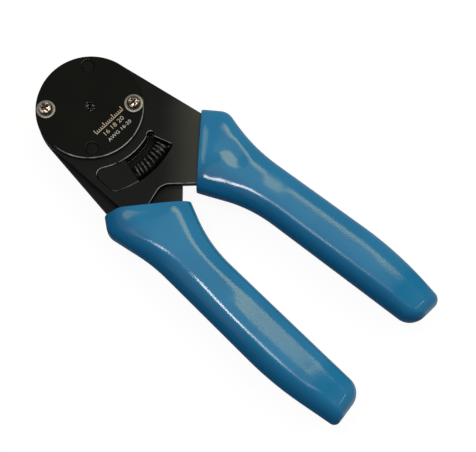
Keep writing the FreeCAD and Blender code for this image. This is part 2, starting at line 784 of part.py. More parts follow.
def mouth_sketch(body, name, level, start, end, low, high):
    """A rectangle laid along the front edge of the moving grip, between two depths behind that edge."""
    sketch = new_sketch(body, name, level)
    sketch.setExpression("AttachmentOffset.Base.x", bound("mouth_x"))
    sketch.setExpression("AttachmentOffset.Base.y", bound("mouth_y"))
    sketch.setExpression("AttachmentOffset.Rotation.Angle", bound("mouth_angle - 90"))
    draw_outline(sketch, [(start, low, ""), (end, low, ""), (end, high, ""), (start, high, "")])
    return sketch


def lever_facing_plate():
    """The front layer of the moving handle. It starts behind the frame plate's reach."""
    body = new_body("lever_facing_plate")
    arm = new_sketch(body, "facing_outline", lever_front)
    draw_outline(arm, arm_corners())
    pad(body, arm, "plate_thickness")
    front = mouth_sketch(body, "facing_front", lever_front, f"-{far}", "facing_setback", f"-{far}", far)
    pocket(body, front, "plate_thickness")
    cut_rivet_holes(body, "moving", lever_front, "plate_thickness")
    return body


def grip_blank(label, corners, front_count):
    """A padded outline with rounded long edges. The first corners run along the open front edge."""
    body = new_body(label)
    sketch = new_sketch(body, label + "_outline", grip_back)
    lines, arcs = draw_outline(sketch, corners)
    front = [lines[i] for i in range(front_count)] + [arcs[i] for i in range(1, front_count) if i in arcs]
    front_middles = [middle(sketch.Geometry[i].toShape()) for i in front]
    pad(body, sketch, "grip_thickness")
    low, high = size(grip_back), size(f"{grip_back} + grip_thickness")

    def is_long_edge(edge):
        point = middle(edge)
        on_front = any(math.hypot(point.x - at.x, point.y - at.y) < hair for at in front_middles)
        return not on_front and (at_height(edge, low) or at_height(edge, high))

    dress(body, "Fillet", "grip_edge_radius", is_long_edge)
    return body


def moulded_grip(label, blank, core):
    """The grip is the blank less everything that it is moulded round."""
    inside = doc.addObject("Part::MultiFuse", label + "_core")
    inside.Shapes = core
    grip = doc.addObject("Part::Cut", label)
    grip.Label = label
    grip.Base = blank
    grip.Tool = inside
    doc.recompute()
    return grip


def rivet_rooms(side, top):
    """The rivet holes filled up, so that no grip material runs into them."""
    reach_up = f"{top} - {lever_back}"
    return [cylinder(f"{side}_rivet_room_{number}", "rivet_radius + rivet_gap", reach_up, x, y, lever_back)
            for number, (x, y) in enumerate(rivet_places(side), start=1)]


def fixed_grip(front_plate, backing_plate):
    corners = [
        ("fixed_toe_x", "fixed_toe_y", ""),
        ("fixed_heel_x", "fixed_heel_y", ""),
        ("fixed_flare_x", "fixed_flare_y", "flare_radius"),
        ("handle_end - fixed_end_low_inset", "fixed_end_low_y", "end_radius"),
        ("handle_end - fixed_end_top_inset", "fixed_end_top_y", "end_radius"),
        ("handle_end - fixed_belly_inset", "fixed_belly_y", "belly_radius"),
        ("fixed_waist_x", "fixed_waist_y", "waist_radius"),
        ("fixed_shoulder_x", "fixed_shoulder_y", "shoulder_radius"),
    ]
    blank = grip_blank("fixed_grip_blank", corners, 1)
    return moulded_grip("fixed_grip", blank, [front_plate, backing_plate, *rivet_rooms("fixed", disc_back)])


def moving_grip(lever, facing):
    corners = [
        ("moving_heel_x", "moving_heel_y", ""),
        ("moving_bend_x", "moving_bend_y", "moving_bend_radius"),
        ("moving_toe_x", "moving_toe_y", ""),
        ("moving_shoulder_x", "moving_shoulder_y", "shoulder_radius"),
        ("moving_waist_x", "moving_waist_y", "waist_radius"),
        ("handle_end - moving_belly_inset", "moving_belly_y", "belly_radius"),
        ("handle_end", "moving_end_low_y", "end_radius"),
        ("handle_end - moving_end_top_inset", "moving_end_top_y", "end_radius"),
        ("moving_flare_x", "moving_flare_y", "flare_radius"),
    ]
    blank = grip_blank("moving_grip_blank", corners, 2)
    rooms = rivet_rooms("moving", facing_front)
    return moulded_grip("moving_grip", blank, [lever, facing, mouth_clearance(), *rooms])


def mouth_clearance():
    """Room in the front of the moving grip for the frame plate, which swings into it."""
    body = new_body("mouth_clearance")
    outline = new_sketch(body, "mouth_room", lever_front)
    draw_outline(outline, [
        ("0", f"{low_edge_line('lever_low_angle', '0')} - mouth_gap", ""),
        (far, f"{low_edge_line('lever_low_angle', far)} - mouth_gap", ""),
        (far, far, ""),
        ("0", far, ""),
    ])
    pad(body, outline, "plate_thickness + layer_play + mouth_gap")
    depth = "plate_thickness + layer_play + mouth_gap"
    before, beyond = f"-2 * {far}", f"2 * {far}"
    rear = mouth_sketch(body, "mouth_rear", lever_front, "facing_setback", far, before, beyond)
    pocket(body, rear, depth)
    above = mouth_sketch(body, "mouth_above", lever_front, before, beyond, "mouth_end", beyond)
    pocket(body, above, depth)
    return body


def group(label, pieces):
    """Several like solids as one node."""
    node = doc.addObject("Part::Compound", label)
    node.Label = label
    node.Links = pieces
    doc.recompute()
    return node


def cylinder(name, radius, height, x="0", y="0", low="0"):
    item = doc.addObject("Part::Cylinder", name)
    item.setExpression("Radius", bound(radius))
    item.setExpression("Height", bound(height))
    item.setExpression("Placement.Base.x", bound(x))
    item.setExpression("Placement.Base.y", bound(y))
    item.setExpression("Placement.Base.z", bound(low))
    return item


def fuse(name, pieces):
    item = doc.addObject("Part::MultiFuse", name)
    item.Shapes = pieces
    return item


def cut(name, base, tool):
    item = doc.addObject("Part::Cut", name)
    item.Base = base
    item.Tool = tool
    return item


def cover_screw(number, x, y):
    """A pan head screw with a cross recess, from the back cover up through the washers."""
    seat = "(flat_washer_height + split_washer_height)"
    shank_low = f"({cover_back} + small_edge)"
    reach_up = f"{seat} - {shank_low} + screw_head_height / 2"
    shank = cylinder(f"screw_shank_{number}", "screw_radius", reach_up, x, y, shank_low)
    head = doc.addObject("Part::Cone", f"screw_head_{number}")
    for name, formula in (("Radius1", "screw_head_radius"), ("Radius2", "screw_head_radius - screw_dome"),
                          ("Height", "screw_head_height"), ("Placement.Base.x", x), ("Placement.Base.y", y),
                          ("Placement.Base.z", seat)):
        head.setExpression(name, bound(formula))
    bars = []
    for axis in (0, 1):
        bar = doc.addObject("Part::Box", f"cross_{number}_{axis}")
        spans = ["2 * cross_reach", "cross_width"] if axis == 0 else ["cross_width", "2 * cross_reach"]
        bar.setExpression("Length", bound(spans[0]))
        bar.setExpression("Width", bound(spans[1]))
        bar.setExpression("Height", bound("2 * cross_depth"))
        bar.setExpression("Placement.Base.x", bound(f"{x} - ({spans[0]}) / 2"))
        bar.setExpression("Placement.Base.y", bound(f"{y} - ({spans[1]}) / 2"))
        bar.setExpression("Placement.Base.z", bound(f"{seat} + screw_head_height - cross_depth"))
        bars.append(bar)
    solid = fuse(f"screw_solid_{number}", [shank, head])
    return cut(f"screw_{number}", solid, fuse(f"cross_{number}", bars))


def split_washer(number, x, y):
    low, height = "flat_washer_height", "split_washer_height"
    ring = cylinder(f"split_rim_{number}", "split_washer_radius", height, x, y, low)
    hole = cylinder(f"split_hole_{number}", "screw_radius + screw_gap", height, x, y, low)
    gap = doc.addObject("Part::Box", f"split_gap_{number}")
    gap.setExpression("Length", bound("split_washer_radius + screw_gap"))
    gap.setExpression("Width", bound("split_gap"))
    gap.setExpression("Height", bound(height))
    gap.setExpression("Placement.Base.x", bound(x))
    gap.setExpression("Placement.Base.y", bound(f"{y} - split_gap / 2"))
    gap.setExpression("Placement.Base.z", bound(low))
    return cut(f"split_washer_{number}", cut(f"split_ring_{number}", ring, hole), gap)


def head_fasteners():
    """Screws with their washers, and the flush dowels between them."""
    screws, dowels = fastener_places()
    cover_screws, flat_washers, split_washers, dowel_pins = [], [], [], []
    for number, (x, y) in enumerate(screws, start=1):
        cover_screws.append(cover_screw(number, x, y))
        rim = cylinder(f"washer_rim_{number}", "flat_washer_radius", "flat_washer_height", x, y)
        hole = cylinder(f"washer_hole_{number}", "screw_radius + screw_gap", "flat_washer_height", x, y)
        flat_washers.append(cut(f"flat_washer_{number}", rim, hole))
        split_washers.append(split_washer(number, x, y))
    for number, (x, y) in enumerate(dowels, start=1):
        head_low = "(-dowel_recess - dowel_head_height)"
        head = cylinder(f"dowel_head_{number}", "dowel_head_radius", "dowel_head_height", x, y, head_low)
        shank_low = f"({cover_back} + small_edge)"
        reach_up = f"{head_low} - {shank_low}"
        shank = cylinder(f"dowel_shank_{number}", "dowel_radius", reach_up, x, y, shank_low)
        dowel_pins.append(fuse(f"dowel_{number}", [head, shank]))
    return [group("cover_screws", cover_screws), group("flat_washers", flat_washers),
            group("split_washers", split_washers), group("dowel_pins", dowel_pins)]


def handle_rivets(label, side):
    rivets = []
    for number, (x, y) in enumerate(rivet_places(side), start=1):
        low, top = lever_back, disc_back
        if side == "moving":
            top = facing_front
        rivets.append(cylinder(f"{side}_rivet_{number}", "rivet_radius", f"{top} - {low}", x, y, low))
    return group(label, rivets)


def return_spring():
    """The room that the coil fills: a tube bent about the crimp axis, from the tab to the window's end."""
    walls = (("spring_outside", spring_radius), ("spring_inside", f"{spring_radius} - spring_wire"))
    height = f"{lever_front} - trough_depth + spring_floor_gap + {spring_radius}"
    tubes = []
    for name, radius in walls:
        tube = doc.addObject("Part::Torus", name)
        tube.setExpression("Radius1", bound(spring_path_radius))
        tube.setExpression("Radius2", bound(radius))
        tube.setExpression("Angle3", bound("window_end_angle - tab_face_angle - 2 * spring_end_gap"))
        tube.setExpression("Placement.Base.z", bound(height))
        tube.setExpression("Placement.Rotation.Angle", bound("tab_face_angle + spring_end_gap"))
        tubes.append(tube)
    spring = cut("return_spring", *tubes)
    doc.recompute()
    return spring


def adjusting_screw():
    """The slotted screw at the back that sets how deep a contact goes in."""
    top = f"({cover_front} - adjuster_lead)"
    low = f"({top} - adjuster_shank)"
    shank = cylinder("adjuster_shank_rod", "adjuster_radius", "adjuster_shank", low=low)
    head_low = f"({low} - adjuster_head_height)"
    head = cylinder("adjuster_head", "adjuster_head_radius", "adjuster_head_height", low=head_low)
    hole_low = f"({top} - tip_pin_depth)"
    hole = cylinder("adjuster_hole", "tip_pin_radius + adjuster_gap", "tip_pin_depth", low=hole_low)
    slot = doc.addObject("Part::Box", "adjuster_slot")
    slot.setExpression("Length", bound("4 * adjuster_head_radius"))
    slot.setExpression("Width", bound("adjuster_slot_width"))
    slot.setExpression("Height", bound("adjuster_slot_depth"))
    slot.setExpression("Placement.Base.x", bound("-2 * adjuster_head_radius"))
    slot.setExpression("Placement.Base.y", bound("-adjuster_slot_width / 2"))
    slot.setExpression("Placement.Base.z", bound(head_low))
    solid = fuse("adjuster_solid", [shank, head])
    screw = cut("adjusting_screw", solid, fuse("adjuster_cuts", [hole, slot]))
    doc.recompute()
    return screw


def stop_tip():
    """The pin in the end of the adjusting screw, which a contact rests on."""
    low = f"({cover_front} - adjuster_lead - tip_pin_depth)"
    tip = cylinder("stop_tip", "tip_pin_radius", f"{cover_front} + tip_pin_rise - {low}", low=low)
    doc.recompute()
    return tip


def adjuster_locknut():
    low = f"({boss_back} - locknut_gap - locknut_height)"
    blank = doc.addObject("Part::Prism", "locknut_blank")
    blank.Polygon = 6
    blank.setExpression("Circumradius", bound("locknut_flats / 2 / cos(30)"))
    blank.setExpression("Height", bound("locknut_height"))
    blank.setExpression("Placement.Base.z", bound(low))
    hole = cylinder("locknut_hole", "adjuster_radius + adjuster_gap", "locknut_height", low=low)
    nut = cut("adjuster_locknut", blank, hole)
    doc.recompute()
    return nut


def write_parts(nodes):
    """Stop on any failed object, then write each sub-part."""
    doc.recompute()
    for item in doc.Objects:
        if "Invalid" in item.State or "Error" in item.State:
            raise RuntimeError(f"{item.Label} failed: {item.State}")
    os.makedirs("parts", exist_ok=True)
    for node in nodes:
        shape = node.Shape
        if shape.isNull() or not shape.isValid() or not shape.Solids:
            raise RuntimeError(node.Label + " has no valid solid")
        shape.exportStep(f"parts/{node.Label}.step")
        box = shape.BoundBox
        spans = ((box.XMin, box.XMax), (box.YMin, box.YMax), (box.ZMin, box.ZMax))
        extent = "  ".join(f"{low:7.2f} {high:7.2f}" for low, high in spans)
        print(f"{node.Label:22} solids {len(shape.Solids)} volume {shape.Volume:9.1f} extent {extent}")


front_plate = front_frame_plate()
backing = handle_backing_plate()
lever = lever_plate()
facing = lever_facing_plate()
nodes = [front_plate, backing, front_cover_disc(), back_cover(), indenter_hub(), lever, facing]
nodes += [indenter(number) for number in (1, 2, 3, 4)]
nodes += head_fasteners()
nodes += [handle_rivets("frame_rivets", "fixed"), handle_rivets("lever_rivets", "moving")]
nodes += [fixed_grip(front_plate, backing), moving_grip(lever, facing)]
nodes += [return_spring(), adjusting_screw(), stop_tip(), adjuster_locknut()]
write_parts(nodes)
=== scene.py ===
import math
import bmesh
import bpy
import numpy as np
from mathutils import Matrix, Vector


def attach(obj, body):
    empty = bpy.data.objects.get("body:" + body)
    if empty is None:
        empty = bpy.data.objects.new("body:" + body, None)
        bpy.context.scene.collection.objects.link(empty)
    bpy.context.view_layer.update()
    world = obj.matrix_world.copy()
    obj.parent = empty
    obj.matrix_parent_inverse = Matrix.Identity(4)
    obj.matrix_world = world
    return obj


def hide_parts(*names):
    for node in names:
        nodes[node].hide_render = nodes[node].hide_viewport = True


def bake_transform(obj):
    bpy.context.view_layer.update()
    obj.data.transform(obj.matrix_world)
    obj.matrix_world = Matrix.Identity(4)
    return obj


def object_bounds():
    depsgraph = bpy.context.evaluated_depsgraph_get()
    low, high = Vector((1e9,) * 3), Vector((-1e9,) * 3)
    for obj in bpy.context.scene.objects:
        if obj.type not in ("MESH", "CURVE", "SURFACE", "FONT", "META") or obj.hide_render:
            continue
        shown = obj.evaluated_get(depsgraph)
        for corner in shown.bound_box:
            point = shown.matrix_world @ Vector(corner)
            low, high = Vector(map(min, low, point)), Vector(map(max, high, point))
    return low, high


# Hand crimping tool with a round head, four indenters and vinyl dipped handles.
# Sizes read in millimetres and degrees unless a note says otherwise. Meshes are in metres.

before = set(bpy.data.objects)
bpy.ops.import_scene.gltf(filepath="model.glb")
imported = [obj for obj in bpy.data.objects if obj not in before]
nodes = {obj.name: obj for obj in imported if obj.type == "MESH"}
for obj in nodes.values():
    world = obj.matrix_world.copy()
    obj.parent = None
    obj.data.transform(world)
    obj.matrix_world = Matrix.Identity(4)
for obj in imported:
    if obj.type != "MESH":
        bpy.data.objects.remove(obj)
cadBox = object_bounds()
mm = 0.001


# helpers for node trees

class Wire:  # a node's output, for use in sums
    def __init__(self, board, socket):
        self.board = board
        self.socket = socket

    def other(self, name):  # another output of the same node
        return Wire(self.board, self.socket.node.outputs[name])

    def __add__(self, value):
        return self.board.maths("ADD", self, value)

    def __sub__(self, value):
        return self.board.maths("SUBTRACT", self, value)

    def __rsub__(self, value):
        return self.board.maths("SUBTRACT", value, self)

    def __mul__(self, value):
        return self.board.maths("MULTIPLY", self, value)

    def __truediv__(self, value):
        return self.board.maths("DIVIDE", self, value)

    __radd__ = __add__
    __rmul__ = __mul__

    def smooth(self, low, high):  # 0 below low, 1 above high
        settings = {"interpolation_type": "SMOOTHSTEP"}
        values = {"Value": self, "From Min": low, "From Max": high}
        return self.board.node("ShaderNodeMapRange", settings, values)


class Board:  # a node tree being wired up
    def __init__(self, tree):
        self.tree = tree

    def node(self, kind, settings=None, values=None, output=0):
        item = self.tree.nodes.new(kind)
        for name, value in (settings or {}).items():
            setattr(item, name, value)
        for key, value in (values or {}).items():
            for each in value if isinstance(value, list) else [value]:  # several wires into one socket
                if isinstance(each, Wire):
                    self.tree.links.new(each.socket, item.inputs[key])
                else:
                    item.inputs[key].default_value = each
        return Wire(self, item.outputs[output]) if item.outputs else None

    def maths(self, operation, *values):
        return self.node("ShaderNodeMath", {"operation": operation}, dict(enumerate(values)))

    def largest(self, first, *others):
        for each in others:
            first = self.maths("MAXIMUM", first, each)
        return first

    def attribute(self, name):
        return self.node("ShaderNodeAttribute", {"attribute_name": name}, output="Fac")

    def vector(self, x=0.0, y=0.0, z=0.0):
        return self.node("ShaderNodeCombineXYZ", None, {"X": x, "Y": y, "Z": z})

    def split(self, vector):
        x = self.node("ShaderNodeSeparateXYZ", None, {0: vector}, output="X")
        return x, x.other("Y"), x.other("Z")

    def mix(self, factor, first, second):  # colours
        return self.node("ShaderNodeMix", {"data_type": "RGBA"}, {0: factor, 6: first, 7: second}, output=2)

    def noise(self, where, scale, detail=3.0, roughness=0.5):
        values = {"Vector": where, "Scale": scale, "Detail": detail, "Roughness": roughness}
        return self.node("ShaderNodeTexNoise", None, values)

    def stretched(self, where, scale, turn):
        values = {"Vector": where, "Scale": scale, "Rotation": (0.0, 0.0, math.radians(turn))}
        return self.node("ShaderNodeMapping", {"vector_type": "TEXTURE"}, values)

    def bump(self, height, strength, distance, under=None):
        values = {"Height": height, "Strength": strength, "Distance": distance}
        if under is not None:
            values["Normal"] = under
        return self.node("ShaderNodeBump", None, values)


def startMaterial(name, plain):
    material = bpy.data.materials.new(name)
    material.use_nodes = True
    board = Board(material.node_tree)
    shader = material.node_tree.nodes["Principled BSDF"]
    for socket, value in plain.items():
        shader.inputs[socket].default_value = value
    where = board.node("ShaderNodeTexCoord", output="Object")
    return material, board, shader, where


def wire(board, shader, **links):
    sockets = {"colour": "Base Color", "roughness": "Roughness", "metal": "Metallic", "normal": "Normal"}
    for name, value in links.items():
        board.tree.links.new(value.socket, shader.inputs[sockets[name]])


def facing(board):  # 0 where the surface is seen square on, 1 where it turns away
    return board.node("ShaderNodeLayerWeight", None, {"Blend": 0.5}, output="Facing")


def dullWhere(board, shader, share, plain):  # a matte shader takes over where the share is 1
    matte = board.node("ShaderNodeBsdfPrincipled", None, plain)
    both = board.node("ShaderNodeMixShader", None, {0: share, 1: Wire(board, shader.outputs[0]), 2: matte})
    board.tree.links.new(both.socket, board.tree.nodes["Material Output"].inputs["Surface"])


# the finishes of the pieces

vinylLook = {
    "blue": (0.0050, 0.136, 0.285, 1.0),
    "paleBlue": (0.0080, 0.154, 0.310, 1.0),
    # the tone of the painted shade on the grips' sides and towards their ends
    "sideShadeBlue": (0.0046, 0.082, 0.190, 1.0),
    "cloudScale": 42.0,
    "waveScale": 70.0,   # slow waves of the dipped skin
    "peelScale": 900.0,  # and its fine grain
    "gloss": 0.22,
    "matteGloss": 0.04,
    "rough": 0.08,
    "cloudRough": 0.04,  # more in the clouds
    "handRough": 0.055,  # and more where the hand holds it
    "matteRough": 0.6,
    "palmDull": 0.72,    # how matte the sides are where they are held
    "endDull": 0.75,     # and the top towards its end
    "endDark": 0.22,     # how much of the painted side shade the end has
    "handSlope": 0.69,   # how far the edge of the held part leans over
    # reaches in metres, from the first trace to the full effect
    "hand": (0.084, 0.096),
    "thumbSide": (0.005, 0.020),
    "thumbFrom": (0.048, 0.056),
    "thumbUntil": (0.062, 0.076),
    "endFrom": (0.1400, 0.1485),
    "endUntil": (0.1515, 0.1600),
    # where the painted shade towards the end comes in
    "darkFrom": (0.128, 0.160),
}


def dippedVinyl():
    look = vinylLook
    plain = {"IOR": 1.5, "Specular IOR Level": look["gloss"]}
    material, board, shader, where = startMaterial("dippedVinyl", plain)
    cloud = board.noise(where, look["cloudScale"], 3.0)
    along, across = board.split(where)[:2]
    wall = board.attribute("wall")  # 0 on the top, 1 where a side has its full painted shade
    held = (along + across * look["handSlope"]).smooth(*look["hand"])
    thumbed = (0 - across).smooth(*look["thumbSide"]) * along.smooth(*look["thumbFrom"])
    thumbed = thumbed * (1 - along.smooth(*look["thumbUntil"]))
    ended = along.smooth(*look["endFrom"]) * (1 - along.smooth(*look["endUntil"]))
    ended = ended * (1 - wall.smooth(0.3, 0.8))
    tone = board.mix(cloud.smooth(0.35, 0.7), look["blue"], look["paleBlue"])
    # painted shade: the sides and the end are darkened as if less light reached them
    paintedShade = board.largest(wall.smooth(0.0, 1.0), along.smooth(*look["darkFrom"]) * look["endDark"])
    tone = board.mix(paintedShade, tone, look["sideShadeBlue"])
    wave = board.noise(where, look["waveScale"], 2.0)
    peel = board.noise(where, look["peelScale"], 2.0)
    normal = board.bump(wave, 0.08, 0.0004)
    normal = board.bump(peel, 0.02, 0.00003, normal)
    rough = look["rough"] + cloud * look["cloudRough"] + held * look["handRough"]
    wire(board, shader, colour=tone, roughness=rough, normal=normal)
    palmed = board.largest(wall.smooth(0.20, 0.50) * held, wall.smooth(0.30, 0.55) * thumbed)
    dull = board.largest(facing(board).smooth(0.60, 0.92), wall.smooth(0.80, 1.0),
                         palmed * look["palmDull"], ended * look["endDull"])
    dullWhere(board, shader, dull, {"Base Color": tone, "Roughness": look["matteRough"],
                                    "Specular IOR Level": look["matteGloss"], "Normal": normal})
    return material


blackLook = {
    "bareAndHighlight": (0.40, 0.40, 0.385, 1.0),  # where an edge is rubbed through, and the painted highlight on edges that face the light
    "rough": 0.34,
    "matteRough": 0.7,
    "matteGloss": 0.02,
    "patchScale": 55.0,
    "streakScale": 700.0,
    "streakTurn": 35.0,
    "speckScale": 2600.0,
    "rubScale": 260.0,
    "handle": (0.758, 0.652),          # the way to the fixed handle, x and y
    "handleReach": (0.030, 0.055),     # metres over which the painted sheen comes in
}


def blackened(name, dark, light, gloss, grain, paintedSheen=None):  # paintedSheen is a painted sheen: the paler tone the plate takes towards the handles, where the light falls
    look = blackLook
    plain = {"IOR": 1.5, "Specular IOR Level": gloss}
    material, board, shader, where = startMaterial(name, plain)
    patches = board.noise(where, look["patchScale"], 4.0, 0.6)
    drawn = board.stretched(where, (1.0, 0.06, 1.0), look["streakTurn"])
    streaks = board.noise(drawn, look["streakScale"], 3.0)
    speck = board.noise(where, look["speckScale"], 2.0)
    tone = board.mix(patches.smooth(0.3, 0.75), dark, light)
    tone = board.mix(streaks.smooth(0.45, 0.8) * 0.35, tone, light)
    # painted sheen: the plate turns paler towards the handles, as if lit there
    if paintedSheen is not None:
        x, y = board.split(where)[:2]
        towards = x * look["handle"][0] + y * look["handle"][1] + patches * 0.006
        tone = board.mix(towards.smooth(*look["handleReach"]), tone, paintedSheen)
    # wear on the edges from the noise, with a painted highlight on the edges that face the light
    wearAndHighlight = board.attribute("worn") * board.noise(where, look["rubScale"], 3.0).smooth(0.22, 0.62)
    tone = board.mix(wearAndHighlight, tone, look["bareAndHighlight"])
    rough = look["rough"] + patches * 0.12 + streaks * 0.1
    normal = board.bump(streaks, 0.12 * grain, 0.00004)
    normal = board.bump(speck, 0.35 * grain, 0.00003, normal)
    wire(board, shader, colour=tone, roughness=rough, metal=wearAndHighlight * 0.9, normal=normal)
    share = facing(board).smooth(0.35, 0.70) * (1 - wearAndHighlight)
    dullWhere(board, shader, share, {"Base Color": tone, "Roughness": look["matteRough"],
                                     "Specular IOR Level": look["matteGloss"]})
    return material


def brightSteel(name, dark, light, rough):
    material, board, shader, where = startMaterial(name, {"Metallic": 1.0})
    patches = board.noise(where, 320.0, 3.0)
    scratch = board.noise(board.stretched(where, (1.0, 0.05, 1.0), 20.0), 2500.0, 2.0)
    tone = board.mix(patches.smooth(0.3, 0.7), dark, light)
    normal = board.bump(scratch, 0.15, 0.00003)
    wire(board, shader, colour=tone, roughness=rough + patches * 0.12, normal=normal)
    return material


wireLook = {"dark": (0.016, 0.0155, 0.015, 1.0), "light": (0.075, 0.072, 0.066, 1.0)}


def oiledWire():
    material, board, shader, where = startMaterial("oiledWire", {"Metallic": 0.85, "Specular IOR Level": 0.5})
    patches = board.noise(where, 700.0, 3.0)
    tone = board.mix(patches.smooth(0.35, 0.7), wireLook["dark"], wireLook["light"])
    wire(board, shader, colour=tone, roughness=0.20 + patches * 0.16)
    return material


headLook = {
    # dark and bright are the ends of a speckle of painted reflections over the head
    "dark": (0.050, 0.034, 0.025, 1.0),
    "bright": (0.74, 0.62, 0.53, 1.0),
    "tarnish": (0.11, 0.075, 0.055, 1.0),
    "deep": (0.020, 0.017, 0.016, 1.0),
    "deepUntil": (0.0022, 0.0028),  # heights in metres between which the painted shade gives way to the crown
}


def nickelHead():  # painted reflections, dark and bright, over the crown, and painted shade down in the cross and round the rim
    look = headLook
    material, board, shader, where = startMaterial("nickelHead", {"Metallic": 1.0})
    height = board.split(where)[2]
    sparkle = board.noise(where, 950.0, 2.0, 0.6)
    tarnish = board.noise(where, 520.0, 3.0, 0.6)
    tone = board.mix(sparkle.smooth(0.48, 0.62), look["dark"], look["bright"])
    tone = board.mix(tarnish.smooth(0.55, 0.75) * 0.7, tone, look["tarnish"])
    # painted shade low on the head, in the cross and round the rim
    tone = board.mix(height.smooth(*look["deepUntil"]), look["deep"], tone)
    normal = board.bump(sparkle, 0.5, 0.0001)
    wire(board, shader, colour=tone, roughness=0.16 + tarnish * 0.16, normal=normal)
    return material


def washerMetal(name, flatTone, edgeTone):
    material, board, shader, where = startMaterial(name, {"Metallic": 1.0})
    patches = board.noise(where, 900.0, 3.0)
    # painted highlight: the marked rim takes the brighter edge tone
    tone = board.mix(board.attribute("worn").smooth(0.2, 0.8), flatTone, edgeTone)
    tone = board.mix(patches.smooth(0.5, 0.8) * 0.5, tone, flatTone)
    wire(board, shader, colour=tone, roughness=0.22 + patches * 0.2)
    return material


def printedInk(name, colour):
    material, board, shader, where = startMaterial(name, {"Specular IOR Level": 0.2})
    worn = board.noise(where, 1800.0, 3.0, 0.7)
    faded = tuple(0.45 * value for value in colour[:3]) + (1.0,)
    tone = board.mix(worn.smooth(0.5, 0.75), colour, faded)
    wire(board, shader, colour=tone, roughness=0.55 + worn * 0.2)
    return material


def dress(names, material):
    for name in names:
        for place in nodes[name].material_slots:
            place.material = material


# the paler tone of the painted sheen on the plate towards the handles
sheenOxide = (0.043, 0.044, 0.035, 1.0)

vinyl = dippedVinyl()
plateBlack = blackened("oxidePlate", (0.0022, 0.0024, 0.0028, 1.0), (0.0046, 0.0048, 0.0050, 1.0),
                       gloss=0.06, grain=1.0, paintedSheen=sheenOxide)
discBlack = blackened("oxideDisc", (0.0022, 0.0022, 0.0018, 1.0), (0.0036, 0.0036, 0.0028, 1.0),
                      gloss=0.038, grain=0.5)
dowelBlack = blackened("oxideDowel", (0.0016, 0.0016, 0.0014, 1.0), (0.0040, 0.0040, 0.0036, 1.0),
                       gloss=0.05, grain=0.8)
nickel = brightSteel("nickelPlate", (0.44, 0.41, 0.37, 1.0), (0.60, 0.57, 0.52, 1.0), rough=0.14)
nickelTop = nickelHead()
# the flat washer's dark flat tone is a painted dark reflection; both washers' brighter rims are a painted
# highlight
washerNickel = washerMetal("washerNickel", (0.020, 0.019, 0.018, 1.0), (0.16, 0.15, 0.13, 1.0))
washerDark = washerMetal("washerDark", (0.010, 0.010, 0.011, 1.0), (0.07, 0.07, 0.07, 1.0))
groundSteel = brightSteel("groundSteel", (0.20, 0.20, 0.20, 1.0), (0.34, 0.34, 0.33, 1.0), rough=0.28)
rivetSteel = brightSteel("rivetSteel", (0.36, 0.36, 0.35, 1.0), (0.52, 0.52, 0.50, 1.0), rough=0.30)
springBlack = oiledWire()
beigeInk = printedInk("beigeInk", (0.42, 0.33, 0.24, 1.0))
greyInk = printedInk("greyInk", (0.46, 0.45, 0.42, 1.0))

dress(("lever_facing_plate",), plateBlack)
dress(("indenter_hub", "indenter_1", "indenter_2", "indenter_3", "indenter_4", "stop_tip"), groundSteel)
dress(("frame_rivets", "lever_rivets"), rivetSteel)
print("finishes ready")


# helpers for meshes

samePlace = 1e-6  # metres; points nearer than this are one


def addObject(name, data):
    item = bpy.data.objects.new(name, data)
    bpy.context.scene.collection.objects.link(item)
    return item


def addMesh(name, vertices, faces, material):
    mesh = bpy.data.meshes.new(name)
    mesh.from_pydata(vertices, [], faces)
    mesh.materials.append(material)
    return addObject(name, mesh)


def pointShares(piece, name, values):  # a share at each point, which a material reads
    attribute = piece.data.attributes.new(name, "FLOAT", "POINT")
    attribute.data.foreach_set("value", np.array(values, dtype=np.float32))


def closeUp(piece):  # merge doubles and point the faces outwards
    work = bmesh.new()
    work.from_mesh(piece.data)
    bmesh.ops.remove_doubles(work, verts=work.verts, dist=samePlace)
    bmesh.ops.dissolve_degenerate(work, edges=work.edges, dist=samePlace)
    bmesh.ops.recalc_face_normals(work, faces=work.faces)
    for face in work.faces:
        face.smooth = True
    work.to_mesh(piece.data)
    work.free()


def applyModifiers(piece):
    depsgraph = bpy.context.evaluated_depsgraph_get()
    finished = bpy.data.meshes.new_from_object(piece.evaluated_get(depsgraph))
    piece.modifiers.clear()
    piece.data = finished


def roundedPath(corners, steps=24):  # points along a line whose inner corners (x, y, radius) are arcs
    points = [Vector(corners[0][:2])]
    for before, corner, after in zip(corners, corners[1:], corners[2:]):
        at = Vector(corner[:2])
        back = (Vector(before[:2]) - at).normalized()
        ahead = (Vector(after[:2]) - at).normalized()
        half = back.angle(ahead) / 2
        centre = at + (back + ahead).normalized() * (corner[2] / math.sin(half))
        start = at + back * (corner[2] / math.tan(half)) - centre
        end = at + ahead * (corner[2] / math.tan(half)) - centre
        turn = math.atan2(start.x * end.y - start.y * end.x, start.dot(end))
        for step in range(steps + 1):
            points.append(centre + Matrix.Rotation(turn * step / steps, 2) @ start)
    points.append(Vector(corners[-1][:2]))
    return np.array([tuple(point) for point in points])


def alongX(path, x):
    return np.interp(x, path[:, 0], path[:, 1])


def alongShare(path, share):  # the point at a share of the path's length
    steps = np.hypot(*np.diff(path, axis=0).T)
    length = np.concatenate([[0.0], np.cumsum(steps)])
    return np.stack([np.interp(share * length[-1], length, path[:, axis]) for axis in (0, 1)], axis=-1)


def softStep(value):  # 0 to 1 with soft ends
    share = np.clip(value, 0, 1)
    return share * share * (3 - 2 * share)


# black plates: the solids with eased edges, rubbed and with a painted highlight

easeSizes = {
    "sharp": math.radians(30.0),   # edges sharper than this are eased
    "flat": math.radians(0.4),     # faces that turn less than this become one
    "level": 0.97,                 # a face that points up more than this is a flat top or back
    "upright": 0.15,               # and below this a side wall
    "worn": (0.944, -0.330, 0.0),  # the side towards the light: edges that face it are rubbed bright and carry a painted highlight
    "wornFrom": 0.3,
    "wornRun": 0.4,
}
